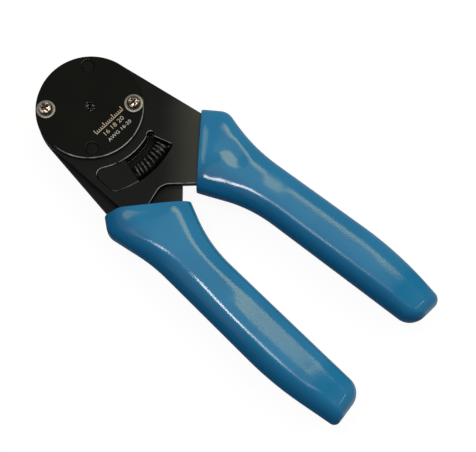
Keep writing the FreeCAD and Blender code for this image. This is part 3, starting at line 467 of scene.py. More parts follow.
# piece: node, body, slot, finish, how far the edge is eased, how bright its rubbed edges and painted edge
# highlight are
blackPieces = {
    "framePlate": ("front_frame_plate", "frame", "blackened_plate", plateBlack, 0.06, 0.8),
    "leverBlade": ("lever_plate", "lever", "blackened_plate", plateBlack, 0.06, 0.5),
    "backingPlate": ("handle_backing_plate", "frame", "blackened_plate", plateBlack, 0.06, 0.4),
    "frontDisc": ("front_cover_disc", "frame", "blackened_disc", discBlack, 0.035, 0.8),
    "rearCover": ("back_cover", "frame", "blackened_disc", discBlack, 0.25, 0.6),
    "lockNut": ("adjuster_locknut", "locknut", "plated_steel", nickel, 0.3, 0.0),
}


def easedCopy(name, node, body, slot, material, ease, rub):
    work = bmesh.new()
    work.from_mesh(nodes[node].data)
    bmesh.ops.remove_doubles(work, verts=work.verts, dist=samePlace)
    bmesh.ops.dissolve_limit(work, angle_limit=easeSizes["flat"], verts=work.verts, edges=work.edges)
    sharp = [edge for edge in work.edges if edge.calc_face_angle(0.0) > easeSizes["sharp"]]
    eased = bmesh.ops.bevel(work, geom=sharp, offset=ease * mm, offset_type="OFFSET", segments=2, profile=0.5,
                            affect="EDGES", clamp_overlap=True)
    strips = set(eased["faces"])
    bmesh.ops.recalc_face_normals(work, faces=work.faces)
    # the worn share: edges that face the light get a painted highlight, which the material breaks up with
    # wear noise
    worn = work.faces.layers.float.new("worn")
    side = Vector(easeSizes["worn"])
    for face in work.faces:
        upward = abs(face.normal.z)
        face.smooth = upward < easeSizes["level"] or face in strips
        if easeSizes["upright"] < upward < easeSizes["level"]:
            towards = face.normal.xy.to_3d().normalized().dot(side)
            face[worn] = rub * min(max((towards - easeSizes["wornFrom"]) / easeSizes["wornRun"], 0.0), 1.0)
    for edge in work.edges:
        between = len([face for face in edge.link_faces if face in strips]) == 1
        edge.smooth = edge.calc_face_angle(0.0) < easeSizes["sharp"] and not between
    mesh = bpy.data.meshes.new(name)
    work.to_mesh(mesh)
    work.free()
    mesh.materials.append(material)
    piece = addObject(name, mesh)
    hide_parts(node)
    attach(piece, body)


for name, values in blackPieces.items():
    easedCopy(name, *values)
print("plates eased")


# the two dipped grips

gripSizes = {
    "middle": -6.515,    # height of the middle of the handle's thickness
    "half": 7.21,        # half the thickness
    "squareUntil": 3.0,  # behind the lip the section is square up to here
    "roundFrom": 26.0,   # and fully rounded from here on
    "bendRun": 25.0,     # length over which the front's bent line straightens out
    "skewPower": 2.5,    # how soon the rings turn from the front's slant to the end's
    "endRun": 7.0,       # length in which the end has its closer rings
    "endDrop": 5.2,      # length over which the end rounds down
    "endPower": 2.3,
    "lip": 0.45,         # radius of the rolled lip
    "roll": 6.0,         # length over which the top comes up from the lip
    "rollDrop": 0.75,
    "rollReach": 0.96,   # how much of a quarter round that roll takes
    "sideFrom": 0.08,    # share of the half width from which the side's painted shade comes in
    "sideFull": 0.78,    # and where it is full
    "sidePaler": 0.88,   # how much of that painted shade a grip's upper side, towards +Y and the light, goes without
    "endFade": 1.25,     # how late the end's face takes on half of the painted shade
    "across": 96,        # faces over the top, and as many below
    "along": 140,
}
fixedOutline = {
    "front": [(35.35, 30.2), (56.5, 2.5)],
    "outer": [(35.35, 30.2), (44.5, 36.7, 6.3), (62.3, 32.0, 80.0), (136.0, 36.7, 150.0), (162.3, 32.4)],
    "inner": [(56.5, 2.5), (78.5, 12.1, 62.0), (160.8, 16.0)],
    "corners": (3.2, 7.0),    # radius of the end's outer and inner corner
    "powers": (3.2, 2.6),     # squareness of the outer and the inner side
    "lipPowers": (5.5, 3.5),  # and at the lip
    # hollows: from, to, radius, depth (a swelling below zero), and how far they taper off before and after
    "hollows": [
        ((57.5, 24.0), (61.0, 23.0), 5.0, 0.30, (5.5, 6.5)),
        ((57.5, 17.8), (61.0, 17.2), 4.6, -0.20, (5.5, 6.5)),
        ((77.0, 27.0), (81.0, 27.2), 4.5, 0.32, (3.5, 7.0)),
        ((137.0, 25.0), (145.0, 24.8), 3.5, -0.09, (10.0, 5.0)),
    ],
}
movingOutline = {
    "front": [(35.4, -30.7), (38.1, -24.4, 8.0), (58.3, -2.7)],
    "outer": [(35.4, -30.7), (41.4, -35.6, 6.3), (63.6, -32.8, 80.0), (132.3, -38.1, 150.0), (162.9, -34.85)],
    "inner": [(58.3, -2.7), (75.7, -11.25, 62.0), (161.7, -16.9)],
    "corners": (2.6, 6.6),
    "powers": (2.3, 2.9),
    "lipPowers": (4.2, 3.6),
    "hollows": [
        ((106.0, -19.9), (140.0, -22.2), 6.0, 0.85, (24.0, 11.0)),
    ],
}


def sectionShares(halfWidth, halfHeight, powers, count):  # evenly spaced (across, up) round half a section
    angle = np.linspace(math.pi, 0.0, 721)
    power = np.where(np.cos(angle) < 0, *powers)
    across = np.sign(np.cos(angle)) * np.abs(np.cos(angle)) ** (2 / power)
    up = np.abs(np.sin(angle)) ** (2 / power)
    run = np.hypot(np.diff(across) * halfWidth, np.diff(up) * halfHeight)
    length = np.concatenate([[0.0], np.cumsum(run)])
    even = np.linspace(0.0, length[-1], count + 1)
    return np.interp(even, length, across), np.interp(even, length, up)


def hollowDepth(points, hollows):  # how far the soft top is pressed in at each point
    total = np.zeros(len(points))
    for start, end, radius, depth, tapers in hollows:
        start, run = np.array(start), np.array(end) - np.array(start)
        length = np.linalg.norm(run)
        along = (points - start) @ run / length
        away = np.linalg.norm(points - start - (along / length)[:, None] * run, axis=1)
        full = softStep(along / tapers[0] + 1) * softStep((length - along) / tapers[1] + 1)
        total += depth * full * np.exp(-((away / radius) ** 2))
    return total


def gripStations(span):  # how far along the grip each ring lies
    s = gripSizes
    lip = [0.0, 0.12, 0.3, s["lip"], 0.8, 1.3, 1.9, 2.6, 3.4, 4.3, 5.2]
    body = np.linspace(s["roll"], span - s["endRun"], s["along"])
    turn = np.linspace(0.0, math.pi / 2, 21)[1:]
    end = span - s["endRun"] + s["endRun"] * np.sin(turn)
    return np.concatenate([lip, body, end])


def setBack(radius, away):  # how far a rounded corner has fallen back this far from its edge
    return radius - math.sqrt(max(radius ** 2 - max(radius - away, 0.0) ** 2, 0.0))


def gripSection(outline, outer, inner, station, span):  # the two ends of a ring's width, and half its height
    s = gripSizes
    fade = (1 - station / span) ** s["skewPower"]
    skew = (inner[0, 0] - outer[0, 0]) * fade + (inner[-1, 0] - outer[-1, 0]) * (1 - fade)
    middle = (outer[0, 0] + inner[0, 0]) / 2 + station
    a = np.array([middle - skew / 2, alongX(outer, middle - skew / 2)])
    b = np.array([middle + skew / 2, alongX(inner, middle + skew / 2)])
    left = max(span - station, 0.0)
    insets = [setBack(radius, left) for radius in outline["corners"]]
    drop = max(1 - left / s["endDrop"], 0.0)
    height = s["half"] * max(1 - drop ** s["endPower"], 0.0) ** (1 / s["endPower"])
    roll = setBack(s["lip"], station)
    direction = (b - a) / np.linalg.norm(b - a)
    return a + direction * (insets[0] + roll), b - direction * (insets[1] + roll), height - roll


def gripRing(outline, front, station, a, b, height):  # a ring's points, and their shares of the painted side shade
    s = gripSizes
    square = softStep(np.interp(station, (s["squareUntil"], s["roundFrom"]), (0.0, 1.0)))
    powers = [lip ** (1 - square) * power ** square
              for lip, power in zip(outline["lipPowers"], outline["powers"])]
    across, up = sectionShares(np.linalg.norm(b - a) / 2, max(height, 0.01), powers, s["across"])
    level = (across[:, None] + 1) / 2
    line = a + (b - a) * level
    straight = front[0] + (front[-1] - front[0]) * level
    bend = max(1 - station / s["bendRun"], 0.0) ** 2
    line = line + (alongShare(front, level[:, 0]) - straight) * bend
    near = max(1 - station / s["roll"], 0.0)
    sunk = s["rollDrop"] * (1 - math.sqrt(1 - s["rollReach"] * near * near))
    pressed = (sunk + hollowDepth(line, outline["hollows"])) * np.clip((up - 0.2) / 0.6, 0, 1)
    top = [(x, y, s["middle"] + height * z - press) for (x, y), z, press in zip(line, up, pressed)]
    low = [(x, y, s["middle"] - height * z + sunk * z) for (x, y), z in zip(line, up)]
    back = slice(-2, 0, -1)  # the underside runs back, without the two ends that the top has
    # painted shade: strongest on the steep sides, less on the side towards +Y and the light, and half on the
    # end's face
    shadeShare = np.abs(np.concatenate([across, across[back]]))
    shadeShare = np.clip((shadeShare - s["sideFrom"]) / (s["sideFull"] - s["sideFrom"]), 0, 1)
    shadeShare = np.maximum(shadeShare, 0.5 - 0.5 * np.clip(height / s["half"] * s["endFade"], 0, 1))
    aside = np.concatenate([line[:, 1], line[back, 1]]) - (a[1] + b[1]) / 2
    paler = s["sidePaler"] * softStep(0.5 + aside / abs(b[1] - a[1]))
    return top + low[back], list(shadeShare * (1 - paler))


def ringFaces(rings):  # faces between the rings, and over the first and the last
    size = len(rings[0])
    faces = []
    for first, second in zip(rings, rings[1:]):
        for i in range(size):
            j = (i + 1) % size
            faces.append((first[i], first[j], second[j], second[i]))
    for ring in (rings[0], rings[-1]):
        for i in range(size // 2):
            pair = (ring[i], ring[i + 1], ring[(size - i - 1) % size], ring[(size - i) % size])
            faces.append(tuple(dict.fromkeys(pair)))
    return faces


def buildGrip(name, outline):
    front, outer, inner = [roundedPath(outline[side]) for side in ("front", "outer", "inner")]
    span = (outer[-1, 0] + inner[-1, 0]) / 2 - (outer[0, 0] + inner[0, 0]) / 2
    vertices, sideShades, rings = [], [], []
    for station in gripStations(span):
        points, tones = gripRing(outline, front, station, *gripSection(outline, outer, inner, station, span))
        rings.append(list(range(len(vertices), len(vertices) + len(points))))
        vertices += points
        sideShades += tones
    metres = [tuple(mm * value for value in vertex) for vertex in vertices]
    grip = addMesh(name, metres, ringFaces(rings), vinyl)
    pointShares(grip, "wall", sideShades)
    closeUp(grip)
    return grip


fixedGrip = buildGrip("fixedGripVinyl", fixedOutline)
movingGrip = buildGrip("movingGripVinyl", movingOutline)

mouthSizes = {
    "x": 46.4, "y": -15.4, "angle": 46.9,    # a point on the grip's slanted front, and the way it runs
    "front": -30.0, "depth": 4.2,            # from well before it to this far behind it
    "outside": -40.0, "high": 8.0,           # and so far along it
    "top": -1.75, "low": -6.03,
    "lineAngle": -8.8, "lineRadius": 23.25,  # the frame plate's lower edge, with its clearance
}


def cutMouth(grip):  # room in the front of the moving grip for the frame plate
    m = mouthSizes
    turn = Matrix.Rotation(math.radians(m["angle"] - 90), 4, "Z")
    place = Matrix.Translation((m["x"] * mm, m["y"] * mm, 0)) @ turn
    cutter = bmesh.new()
    bmesh.ops.create_cube(cutter, size=1.0)
    for vertex in cutter.verts:
        x = m["depth"] if vertex.co.x > 0 else m["front"]
        y = m["high"] if vertex.co.y > 0 else m["outside"]
        z = m["top"] if vertex.co.z > 0 else m["low"]
        vertex.co = place @ Vector((x * mm, y * mm, z * mm))
    angle = math.radians(m["lineAngle"] - 90)
    out = Vector((math.cos(angle), math.sin(angle), 0))
    whole = cutter.verts[:] + cutter.edges[:] + cutter.faces[:]
    edge = out * m["lineRadius"] * mm
    bmesh.ops.bisect_plane(cutter, geom=whole, plane_co=edge, plane_no=out, clear_outer=True)
    bmesh.ops.holes_fill(cutter, edges=cutter.edges, sides=0)
    bmesh.ops.recalc_face_normals(cutter, faces=cutter.faces)
    mesh = bpy.data.meshes.new("mouthCutter")
    cutter.to_mesh(mesh)
    cutter.free()
    tool = addObject("mouthCutter", mesh)
    cut = grip.modifiers.new("mouth", "BOOLEAN")
    cut.operation = "DIFFERENCE"
    cut.solver = "EXACT"
    cut.object = tool
    applyModifiers(grip)
    bpy.data.objects.remove(tool)


cutMouth(movingGrip)
for grip, node, body in ((fixedGrip, "fixed_grip", "frame"), (movingGrip, "moving_grip", "lever")):
    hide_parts(node)
    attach(grip, body)
print("grips dipped")


# pieces made by geometry nodes

foldAngle = math.radians(34.0)  # a fold sharper than this stays sharp


def startTree(name, sizes):
    tree = bpy.data.node_groups.new(name, "GeometryNodeTree")
    tree.is_modifier = True
    for label in sizes:
        tree.interface.new_socket(label, in_out="INPUT", socket_type="NodeSocketFloat")
    tree.interface.new_socket("Geometry", in_out="OUTPUT", socket_type="NodeSocketGeometry")
    board = Board(tree)
    source = tree.nodes.new("NodeGroupInput")
    return tree, board, {label: Wire(board, source.outputs[label]) for label in sizes}


def endTree(board, shape, material):
    shape = board.node("GeometryNodeRealizeInstances", None, {"Geometry": shape})
    shape = board.node("GeometryNodeSetShadeSmooth", None, {"Geometry": shape, "Shade Smooth": True})
    fold = board.node("GeometryNodeInputMeshEdgeAngle")
    crease = board.node("FunctionNodeCompare", {"operation": "GREATER_THAN"}, {"A": fold, "B": foldAngle})
    values = {"Geometry": shape, "Selection": crease, "Shade Smooth": False}
    shape = board.node("GeometryNodeSetShadeSmooth", {"domain": "EDGE"}, values)
    shape = board.node("GeometryNodeSetMaterial", None, {"Geometry": shape, "Material": material})
    target = board.tree.nodes.new("NodeGroupOutput")
    board.tree.links.new(shape.socket, target.inputs["Geometry"])


def placeOf(board):  # x, y and z of each point
    return board.split(board.node("GeometryNodeInputPosition"))


def setPlace(board, shape, x, y, z):
    return board.node("GeometryNodeSetPosition", None, {"Geometry": shape, "Position": board.vector(x, y, z)})


def shift(board, shape, **way):
    return board.node("GeometryNodeTransform", None, {"Geometry": shape, "Translation": board.vector(**way)})


def block(board, x, y, z):
    return board.node("GeometryNodeMeshCube", None, {"Size": board.vector(x, y, z)})


def rod(board, sides, radius, length, rings=1, fills=1):
    values = {"Vertices": sides, "Side Segments": rings, "Fill Segments": fills,
              "Radius": radius, "Depth": length}
    return board.node("GeometryNodeMeshCylinder", None, values)


def roundLine(board, points, radius):
    return board.node("GeometryNodeCurvePrimitiveCircle", None, {"Resolution": points, "Radius": radius})


def rowOfPoints(board, count, start, step):
    values = {"Count": count, "Start Location": start, "Offset": step}
    return board.node("GeometryNodeMeshLine", None, values)


def barAlong(board, path, profile):  # a closed bar along a path
    values = {"Curve": path, "Profile Curve": profile, "Fill Caps": True}
    return board.node("GeometryNodeCurveToMesh", None, values)


def cutAway(board, shape, tools):
    settings = {"operation": "DIFFERENCE", "solver": "EXACT"}
    return board.node("GeometryNodeMeshBoolean", settings, {"Mesh 1": shape, "Mesh 2": tools})


def together(board, shapes):
    return board.node("GeometryNodeJoinGeometry", None, {"Geometry": shapes})


def growPiece(name, tree, sizes):
    piece = addObject(name, bpy.data.meshes.new(name))
    modifier = piece.modifiers.new("grow", "NODES")
    modifier.node_group = tree
    labels = {item.name: item.identifier for item in tree.interface.items_tree if item.in_out == "INPUT"}
    for label, value in sizes.items():
        modifier[labels[label]] = float(value)
    applyModifiers(piece)
    piece.data.name = name
    return piece


coilSizes = {
    "turns": 9.5,
    "perTurn": 26,
    "pathRadius": 33.65 * mm,
    "coilRadius": 3.16 * mm,
    "wireRadius": 0.52 * mm,
    "height": -5.4 * mm,
    "start": math.radians(-15.3 + 0.95),
    "end": math.radians(15.9 - 0.95),
    "closedEnds": 0.18,  # how much closer the coils lie at both ends
    "phase": math.radians(200.0),
}


def coilTree():  # a helix whose axis is an arc round the crimp axis
    tree, board, size = startTree("curvedCoil", coilSizes)
    count = size["turns"] * size["perTurn"] + 1
    line = board.node("GeometryNodeCurvePrimitiveLine")
    line = board.node("GeometryNodeResampleCurve", None, {"Curve": line, "Count": count})
    share = board.node("GeometryNodeInputIndex") / (count - 1)
    eased = share - size["closedEnds"] * board.maths("SINE", share * (2 * math.pi)) / (2 * math.pi)
    around = size["start"] + (size["end"] - size["start"]) * eased
    winding = share * size["turns"] * (2 * math.pi) + size["phase"]
    reach = size["pathRadius"] + size["coilRadius"] * board.maths("COSINE", winding)
    x = reach * board.maths("COSINE", around)
    y = reach * board.maths("SINE", around)
    z = size["height"] + size["coilRadius"] * board.maths("SINE", winding)
    line = setPlace(board, line, x, y, z)
    endTree(board, barAlong(board, line, roundLine(board, 12, size["wireRadius"])), springBlack)
    return tree


spring = growPiece("returnCoil", coilTree(), coilSizes)
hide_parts("return_spring")
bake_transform(spring)
print("spring wound")

onDisc = {  # for the screws, washers and dowels, unless they say otherwise
    "circle": 18.3 * mm,  # the radius on which they stand
    "angle": math.radians(45.0),
    "turnFirst": 0.0,
    "turnSecond": 0.0,
}
shankEnd = -13.16 * mm
screwSizes = {
    **onDisc,
    "seat": 1.3 * mm,
    "radius": 2.75 * mm,
    "height": 1.9 * mm,
    "dome": 0.55 * mm,
    "edge": 0.35 * mm,
    "wingLength": 3.9 * mm,
    "wingWidth": 0.95 * mm,
    "wingDepth": 1.25 * mm,
    "shank": 1.5 * mm,
    "shankEnd": shankEnd,
    "turnFirst": math.radians(-16.0),
    "turnSecond": math.radians(-31.0),
}
dowelSizes = {
    **onDisc,
    "angle": math.radians(135.0),
    "seat": -1.6 * mm,
    "radius": 2.8 * mm,
    "height": 1.3 * mm,
    "dome": 0.03 * mm,
    "edge": 0.18 * mm,
    "shank": 2.0 * mm,
    "shankEnd": shankEnd,
}
flatWasherSizes = {
    **onDisc,
    "seat": 0.3 * mm,
    "inner": 1.65 * mm,
    "outer": 4.0 * mm,
    "height": 0.6 * mm,
    "round": 0.26 * mm,
    "gap": 0.0,
}
splitWasherSizes = {
    **onDisc,
    "seat": 0.95 * mm,
    "inner": 1.65 * mm,
    "outer": 2.85 * mm,
    "height": 0.7 * mm,
    "round": 0.12 * mm,
    "gap": math.radians(15.0),
    "turnFirst": math.radians(150.0),
    "turnSecond": math.radians(40.0),
}


def onTwoPlaces(board, size, piece):  # one copy at each side of the disc, turned by its own angle
    x = size["circle"] * board.maths("COSINE", size["angle"])
    y = size["circle"] * board.maths("SINE", size["angle"])
    places = rowOfPoints(board, 2, board.vector(x, y, size["seat"]), board.vector(x * -2, y * -2))
    index = board.node("GeometryNodeInputIndex")
    turn = size["turnFirst"] + (size["turnSecond"] - size["turnFirst"]) * index
    values = {"Points": places, "Instance": piece, "Rotation": board.vector(z=turn)}
    return board.node("GeometryNodeInstanceOnPoints", None, values)


def domedHead(board, size):  # a short rod whose top is bent into a dome with a soft edge
    head = rod(board, 56, size["radius"], size["height"], rings=6, fills=16)
    x, y, z = placeOf(board)
    share = board.maths("SQRT", x * x + y * y) / size["radius"]
    up = z / size["height"] + 0.5
    fall = share * share * size["dome"] + board.maths("POWER", share, 12.0) * size["edge"]
    draw = 1 - board.maths("POWER", up, 4.0) * (size["edge"] / size["radius"]) * 0.6
    return setPlace(board, head, x * draw, y * draw, up * (size["height"] - fall))


def crossWing(board, size, long, wide):  # one bar of the cross, narrower at its foot
    bar = block(board, size[long], size[wide], size["wingDepth"] * 2)
    x, y, z = placeOf(board)
    draw = z / size["wingDepth"] * 0.3 + 0.7
    top = size["height"] - size["dome"] * 0.2
    return setPlace(board, bar, x * draw, y * draw, z + top)


def headTree(name, sizes, material):  # a head, with a cross where it has one, and its shank
    tree, board, size = startTree(name, sizes)
    head = domedHead(board, size)
    if "wingLength" in size:
        ways = (("wingLength", "wingWidth"), ("wingWidth", "wingLength"))
        head = cutAway(board, head, [crossWing(board, size, *way) for way in ways])
    length = size["seat"] - size["shankEnd"]
    shank = shift(board, rod(board, 32, size["shank"], length), z=length * -0.5)
    whole = together(board, [shank, head])
    endTree(board, onTwoPlaces(board, size, whole), material)
    return tree


def washerTree(name, sizes, material):  # a rounded strip led round an arc
    tree, board, size = startTree(name, sizes)
    middle = (size["inner"] + size["outer"]) * 0.5
    sweep = 2 * math.pi - size["gap"]
    values = {"Resolution": 97, "Radius": middle, "Start Angle": 0.0, "Sweep Angle": sweep}
    arc = board.node("GeometryNodeCurveArc", None, values)
    values = {"Width": size["outer"] - size["inner"], "Height": size["height"]}
    strip = board.node("GeometryNodeCurvePrimitiveQuadrilateral", None, values)
    values = {"Curve": strip, "Count": 3, "Radius": size["round"]}
    strip = board.node("GeometryNodeFilletCurve", {"mode": "POLY"}, values)
    endTree(board, onTwoPlaces(board, size, barAlong(board, arc, strip)), material)
    return tree


def finishPiece(piece, node, body):
    closeUp(piece)
    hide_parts(node)
    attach(piece, body)


def rimLight(piece, inner, outer):  # marks the washers' outer edges for a painted highlight
    places = np.array([tuple(vertex.co) for vertex in piece.data.vertices])
    middle = screwSizes["circle"] * math.cos(screwSizes["angle"])
    away = [np.hypot(places[:, 0] - at, places[:, 1] - at) for at in (middle, -middle)]
    pointShares(piece, "worn", np.clip((np.minimum(*away) - inner) / (outer - inner), 0, 1))


# piece: how it is made, sizes, finish, node, slot
discPieces = {
    "crossHeads": (headTree, screwSizes, nickelTop, "cover_screws", "plated_steel"),
    "dowelHeads": (headTree, dowelSizes, dowelBlack, "dowel_pins", "dowel_steel"),
    "flatWashers": (washerTree, flatWasherSizes, washerNickel, "flat_washers", "plated_steel"),
    "splitWashers": (washerTree, splitWasherSizes, washerDark, "split_washers", "plated_steel"),
}
# between these radii a washer's rim takes its painted highlight
rimRadii = {"flatWashers": (3.45 * mm, 3.8 * mm), "splitWashers": (2.6 * mm, 2.8 * mm)}

for name, (makeTree, sizes, material, node, slot) in discPieces.items():
    piece = growPiece(name, makeTree(name, sizes, material), sizes)
    finishPiece(piece, node, "frame")
    if name in rimRadii:
        rimLight(piece, *rimRadii[name])
print("screws, washers and dowels set")

adjusterSizes = {
    "thread": 2.98 * mm,
    "root": 2.5 * mm,
    "pitch": 1.0 * mm,
    "foot": -25.7 * mm,  # where the head meets the thread
    "tip": -12.58 * mm,
    "head": 4.78 * mm,
    "headLow": -30.54 * mm,
    "ribs": 24.0,
    "ribDepth": 0.07,    # share of the radius
    "ease": 0.12,        # share taken off at the head's two rims
    "slotWidth": 1.2 * mm,
    "slotDepth": 1.5 * mm,
}


def ribbedHead(board, size):
    head = rod(board, 144, size["head"], size["foot"] - size["headLow"], rings=14)
    x, y, z = placeOf(board)
    up = board.maths("ABSOLUTE", z / (size["foot"] - size["headLow"])) * 2
    share = board.maths("SQRT", x * x + y * y) / size["head"]
    rib = 0.5 - board.maths("COSINE", board.maths("ARCTAN2", y, x) * size["ribs"]) * 0.5
    fade = 1 - board.maths("POWER", up, 10.0)
    draw = 1 - rib * size["ribDepth"] * fade - board.maths("POWER", up, 16.0) * size["ease"] * share
    return setPlace(board, head, x * draw, y * draw, z + (size["foot"] + size["headLow"]) * 0.5)


def adjusterTree():  # a ribbed head with a slot in its end, and a right-hand thread
    tree, board, size = startTree("adjuster", adjusterSizes)
    bar = block(board, size["head"] * 3, size["slotWidth"], size["slotDepth"] * 2)
    head = cutAway(board, ribbedHead(board, size), [shift(board, bar, z=size["headLow"])])
    length = size["tip"] - size["foot"]
    core = shift(board, rod(board, 40, size["root"], length), z=size["foot"] + length * 0.5)
    values = {"Resolution": 36, "Rotations": length / size["pitch"] - 1, "Height": length - size["pitch"],
              "Start Radius": size["root"], "End Radius": size["root"]}
    helix = board.node("GeometryNodeCurveSpiral", None, values)
    helix = board.node("GeometryNodeSetCurveNormal", {"mode": "Z_UP"}, {"Curve": helix})
    ridge = roundLine(board, 4, size["thread"] - size["root"])
    thread = shift(board, barAlong(board, helix, ridge), z=size["foot"] + size["pitch"] * 0.5)
    endTree(board, together(board, [thread, core, head]), nickel)
    return tree


adjuster = growPiece("adjusterScrew", adjusterTree(), adjusterSizes)
finishPiece(adjuster, "adjusting_screw", "adjuster")
print("depth stop's screw cut")


# what is printed on the disc: a plain scale of millimetres, and the wire sizes that the tool takes

inkSizes = {
    "middleX": 9.8 * mm, "middleY": 0.5 * mm,
    "angle": math.radians(86.0),
    "count": 16.0,
    "step": 1.0 * mm,
    "width": 0.34 * mm,
    "short": 1.1 * mm,
    "long": 2.1 * mm,
    "base": 0.34 * mm,
    "thick": 0.016 * mm,
    "lift": 0.3,  # share of the thickness from the disc's face to the middle of the ink
    "longEvery": 5.0,
}
# words: text, middle x and y, length, height, ink
figureRows = [
    ("16 18 20", (13.1, 0.35), 10.6, 1.9, beigeInk),
    ("AWG 16-20", (16.35, 0.3), 12.6, 1.5, greyInk),
]


def scaleTree():
    tree, board, size = startTree("stripScale", inkSizes)
    half = size["step"] * (size["count"] - 1) * 0.5
    places = rowOfPoints(board, size["count"], board.vector(half * -1), board.vector(size["step"]))
    index = board.node("GeometryNodeInputIndex")
    fifth = board.maths("LESS_THAN", board.maths("MODULO", index, size["longEvery"]), 0.5)
    tall = size["short"] + (size["long"] - size["short"]) * fifth
    tick = shift(board, block(board, 1.0, 1.0, 1.0), y=0.5)
    values = {"Points": places, "Instance": tick, "Scale": board.vector(size["width"], tall, size["thick"])}
    ticks = board.node("GeometryNodeInstanceOnPoints", None, values)
    line = block(board, half * 2 + size["width"], size["base"], size["thick"])
    centre = shift(board, together(board, [line, ticks]), y=size["long"] * -0.5)
    place = board.vector(size["middleX"], size["middleY"], size["thick"] * size["lift"])
    values = {"Geometry": centre, "Translation": place, "Rotation": board.vector(z=size["angle"])}
    endTree(board, board.node("GeometryNodeTransform", None, values), beigeInk)
    return tree


def printFigures(text, middle, length, height, ink):  # a row of figures drawn out to its length and height
    curve = bpy.data.curves.new("figures", "FONT")
    curve.body = text
    curve.extrude = 0.5
    curve.resolution_u = 3
    drawn = addObject("figures", curve)
    depsgraph = bpy.context.evaluated_depsgraph_get()
    mesh = bpy.data.meshes.new_from_object(drawn.evaluated_get(depsgraph))
    bpy.data.objects.remove(drawn)
    mesh.materials.clear()
    mesh.materials.append(ink)
    points = np.array([tuple(vertex.co) for vertex in mesh.vertices])
    low, high = points.min(axis=0), points.max(axis=0)
    points = (points - (low + high) / 2) / (high - low) * (length * mm, height * mm, inkSizes["thick"])
    turn = np.array(Matrix.Rotation(inkSizes["angle"], 3, "Z"))
    points = points @ turn.T + (middle[0] * mm, middle[1] * mm, inkSizes["thick"] * inkSizes["lift"])
    mesh.vertices.foreach_set("co", points.astype(np.float32).ravel())
    return mesh


printed = [growPiece("stripScale", scaleTree(), inkSizes)]
for row, words in enumerate(figureRows, 1):
    printed.append(addObject(f"sizeFigures{row}", printFigures(*words)))
for piece in printed:
    closeUp(piece)
    for polygon in piece.data.polygons:
        polygon.use_smooth = False
    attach(piece, "frame")
print("figures printed")


# camera, floor and light

viewSizes = {
    "place": (178.0, -116.8, 571.5),
    "lookAt": (79.0, 2.9, -8.0),
    "up": (-0.652, 0.758, 0.0),
    "lens": 109.7,
    "sensor": 36.0,
    "clip": (0.01, 20.0),  # metres
}


def setCamera():
    v = viewSizes
    back = (Vector(v["place"]) - Vector(v["lookAt"])).normalized()
    right = Vector(v["up"]).cross(back).normalized()
    up = back.cross(right)
    turn = Matrix((right, up, back)).transposed().to_4x4()
    data = bpy.data.cameras.new("viewer")
    data.lens = v["lens"]
    data.sensor_width = v["sensor"]
    data.clip_start, data.clip_end = v["clip"]
    camera = addObject("viewer", data)
    camera.matrix_world = Matrix.Translation(Vector(v["place"]) * mm) @ turn
    bpy.context.scene.camera = camera


lampSizes = {
    # name: place, aim, width, length, glow, colour
    "warmPanel": ((-10, 305, 700), (90, 0, 0), 238, 100, 8.8, (1.0, 0.90, 0.36)),
    "whiteStrip": ((14, -125, 700), (90, -20, 0), 124, 72, 42.0, (1.0, 0.99, 0.97)),
    "coolPanel": ((1, 68, 702), (90, 0, 0), 204, 345, 1.3, (0.82, 0.97, 1.0)),
    "frontPanel": ((-232, 100, 700), (50, 0, 0), 84, 116, 4.6, (1.0, 0.95, 0.60)),
    "endStrip": ((335, 90, 700), (120, 0, 0), 30, 320, 26.0, (0.90, 0.97, 1.0)),
}


def hangLamp(name, place, aim, width, length, glow, colour):  # glow is the brightness seen in a mirror
    data = bpy.data.lights.new(name, "AREA")
    data.shape = "RECTANGLE"
    data.size = width * mm
    data.size_y = length * mm
    data.energy = glow * math.pi * width * length * mm * mm
    data.color = colour
    back = (Vector(place) - Vector(aim)).normalized()
    up = back.cross(Vector((1.0, 0.0, 0.0))).normalized()
    turn = Matrix((up.cross(back), up, back)).transposed().to_4x4()  # the width lies along the handles
    addObject(name, data).matrix_world = Matrix.Translation(Vector(place) * mm) @ turn


def seenDirectly(board):  # 1 for what the eye, a reflection or glass sees
    rays = board.node("ShaderNodeLightPath", output="Is Camera Ray")
    total = rays + rays.other("Is Glossy Ray") + rays.other("Is Transmission Ray")
    return board.maths("MINIMUM", total, 1.0)


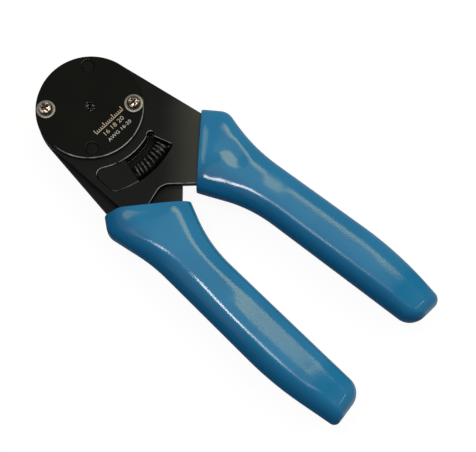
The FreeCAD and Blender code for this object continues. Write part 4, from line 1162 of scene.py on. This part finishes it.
white = (1.0, 1.0, 1.0, 1.0)
skySizes = {"level": 0.36, "up": 0.28, "side": 0.30, "least": 0.06}  # brighter upwards and towards +Y


def lightRoom():
    world = bpy.data.worlds.new("whiteRoom")
    bpy.context.scene.world = world
    world.use_nodes = True
    world.node_tree.nodes.clear()
    board = Board(world.node_tree)
    side, up = board.split(board.node("ShaderNodeTexCoord", output="Generated"))[1:]
    sky = skySizes["level"] + up * skySizes["up"] + side * skySizes["side"]
    strength = board.largest(sky, skySizes["least"])
    ambient = board.node("ShaderNodeBackground", None, {"Color": white, "Strength": strength})
    plain = board.node("ShaderNodeBackground", None, {"Color": white, "Strength": 1.0})
    both = board.node("ShaderNodeMixShader", None, {0: seenDirectly(board), 1: ambient, 2: plain})
    board.node("ShaderNodeOutputWorld", None, {"Surface": both})


floorSizes = {
    "reach": 3.0,      # metres to each side
    "under": 0.0002,   # metres below the lowest point
    "grey": 0.28,      # for the light that it throws back
    "seenGrey": 0.10,  # for what the eye sees, which takes the shadow
    "seenGlow": 0.92,
}


def layFloor():
    f = floorSizes
    low = cadBox[0][2] - f["under"]
    verts = [(x * f["reach"], y * f["reach"], low) for x, y in ((-1, -1), (1, -1), (1, 1), (-1, 1))]
    material = bpy.data.materials.new("whiteTable")
    material.use_nodes = True
    material.node_tree.nodes.clear()
    board = Board(material.node_tree)
    shaded = board.node("ShaderNodeBsdfDiffuse", None, {"Color": (f["grey"],) * 3 + (1.0,)})
    faint = board.node("ShaderNodeBsdfDiffuse", None, {"Color": (f["seenGrey"],) * 3 + (1.0,)})
    glow = board.node("ShaderNodeEmission", None, {"Color": white, "Strength": f["seenGlow"]})
    seen = board.node("ShaderNodeAddShader", None, {0: faint, 1: glow})
    both = board.node("ShaderNodeMixShader", None, {0: seenDirectly(board), 1: shaded, 2: seen})
    board.node("ShaderNodeOutputMaterial", None, {"Surface": both})
    floor = addMesh("floor", verts, [(0, 1, 2, 3)], material)


setCamera()
for name, values in lampSizes.items():
    hangLamp(name, *values)
lightRoom()
layFloor()
bpy.context.scene.view_settings.view_transform = "Standard"
print("camera, lamps and floor set")
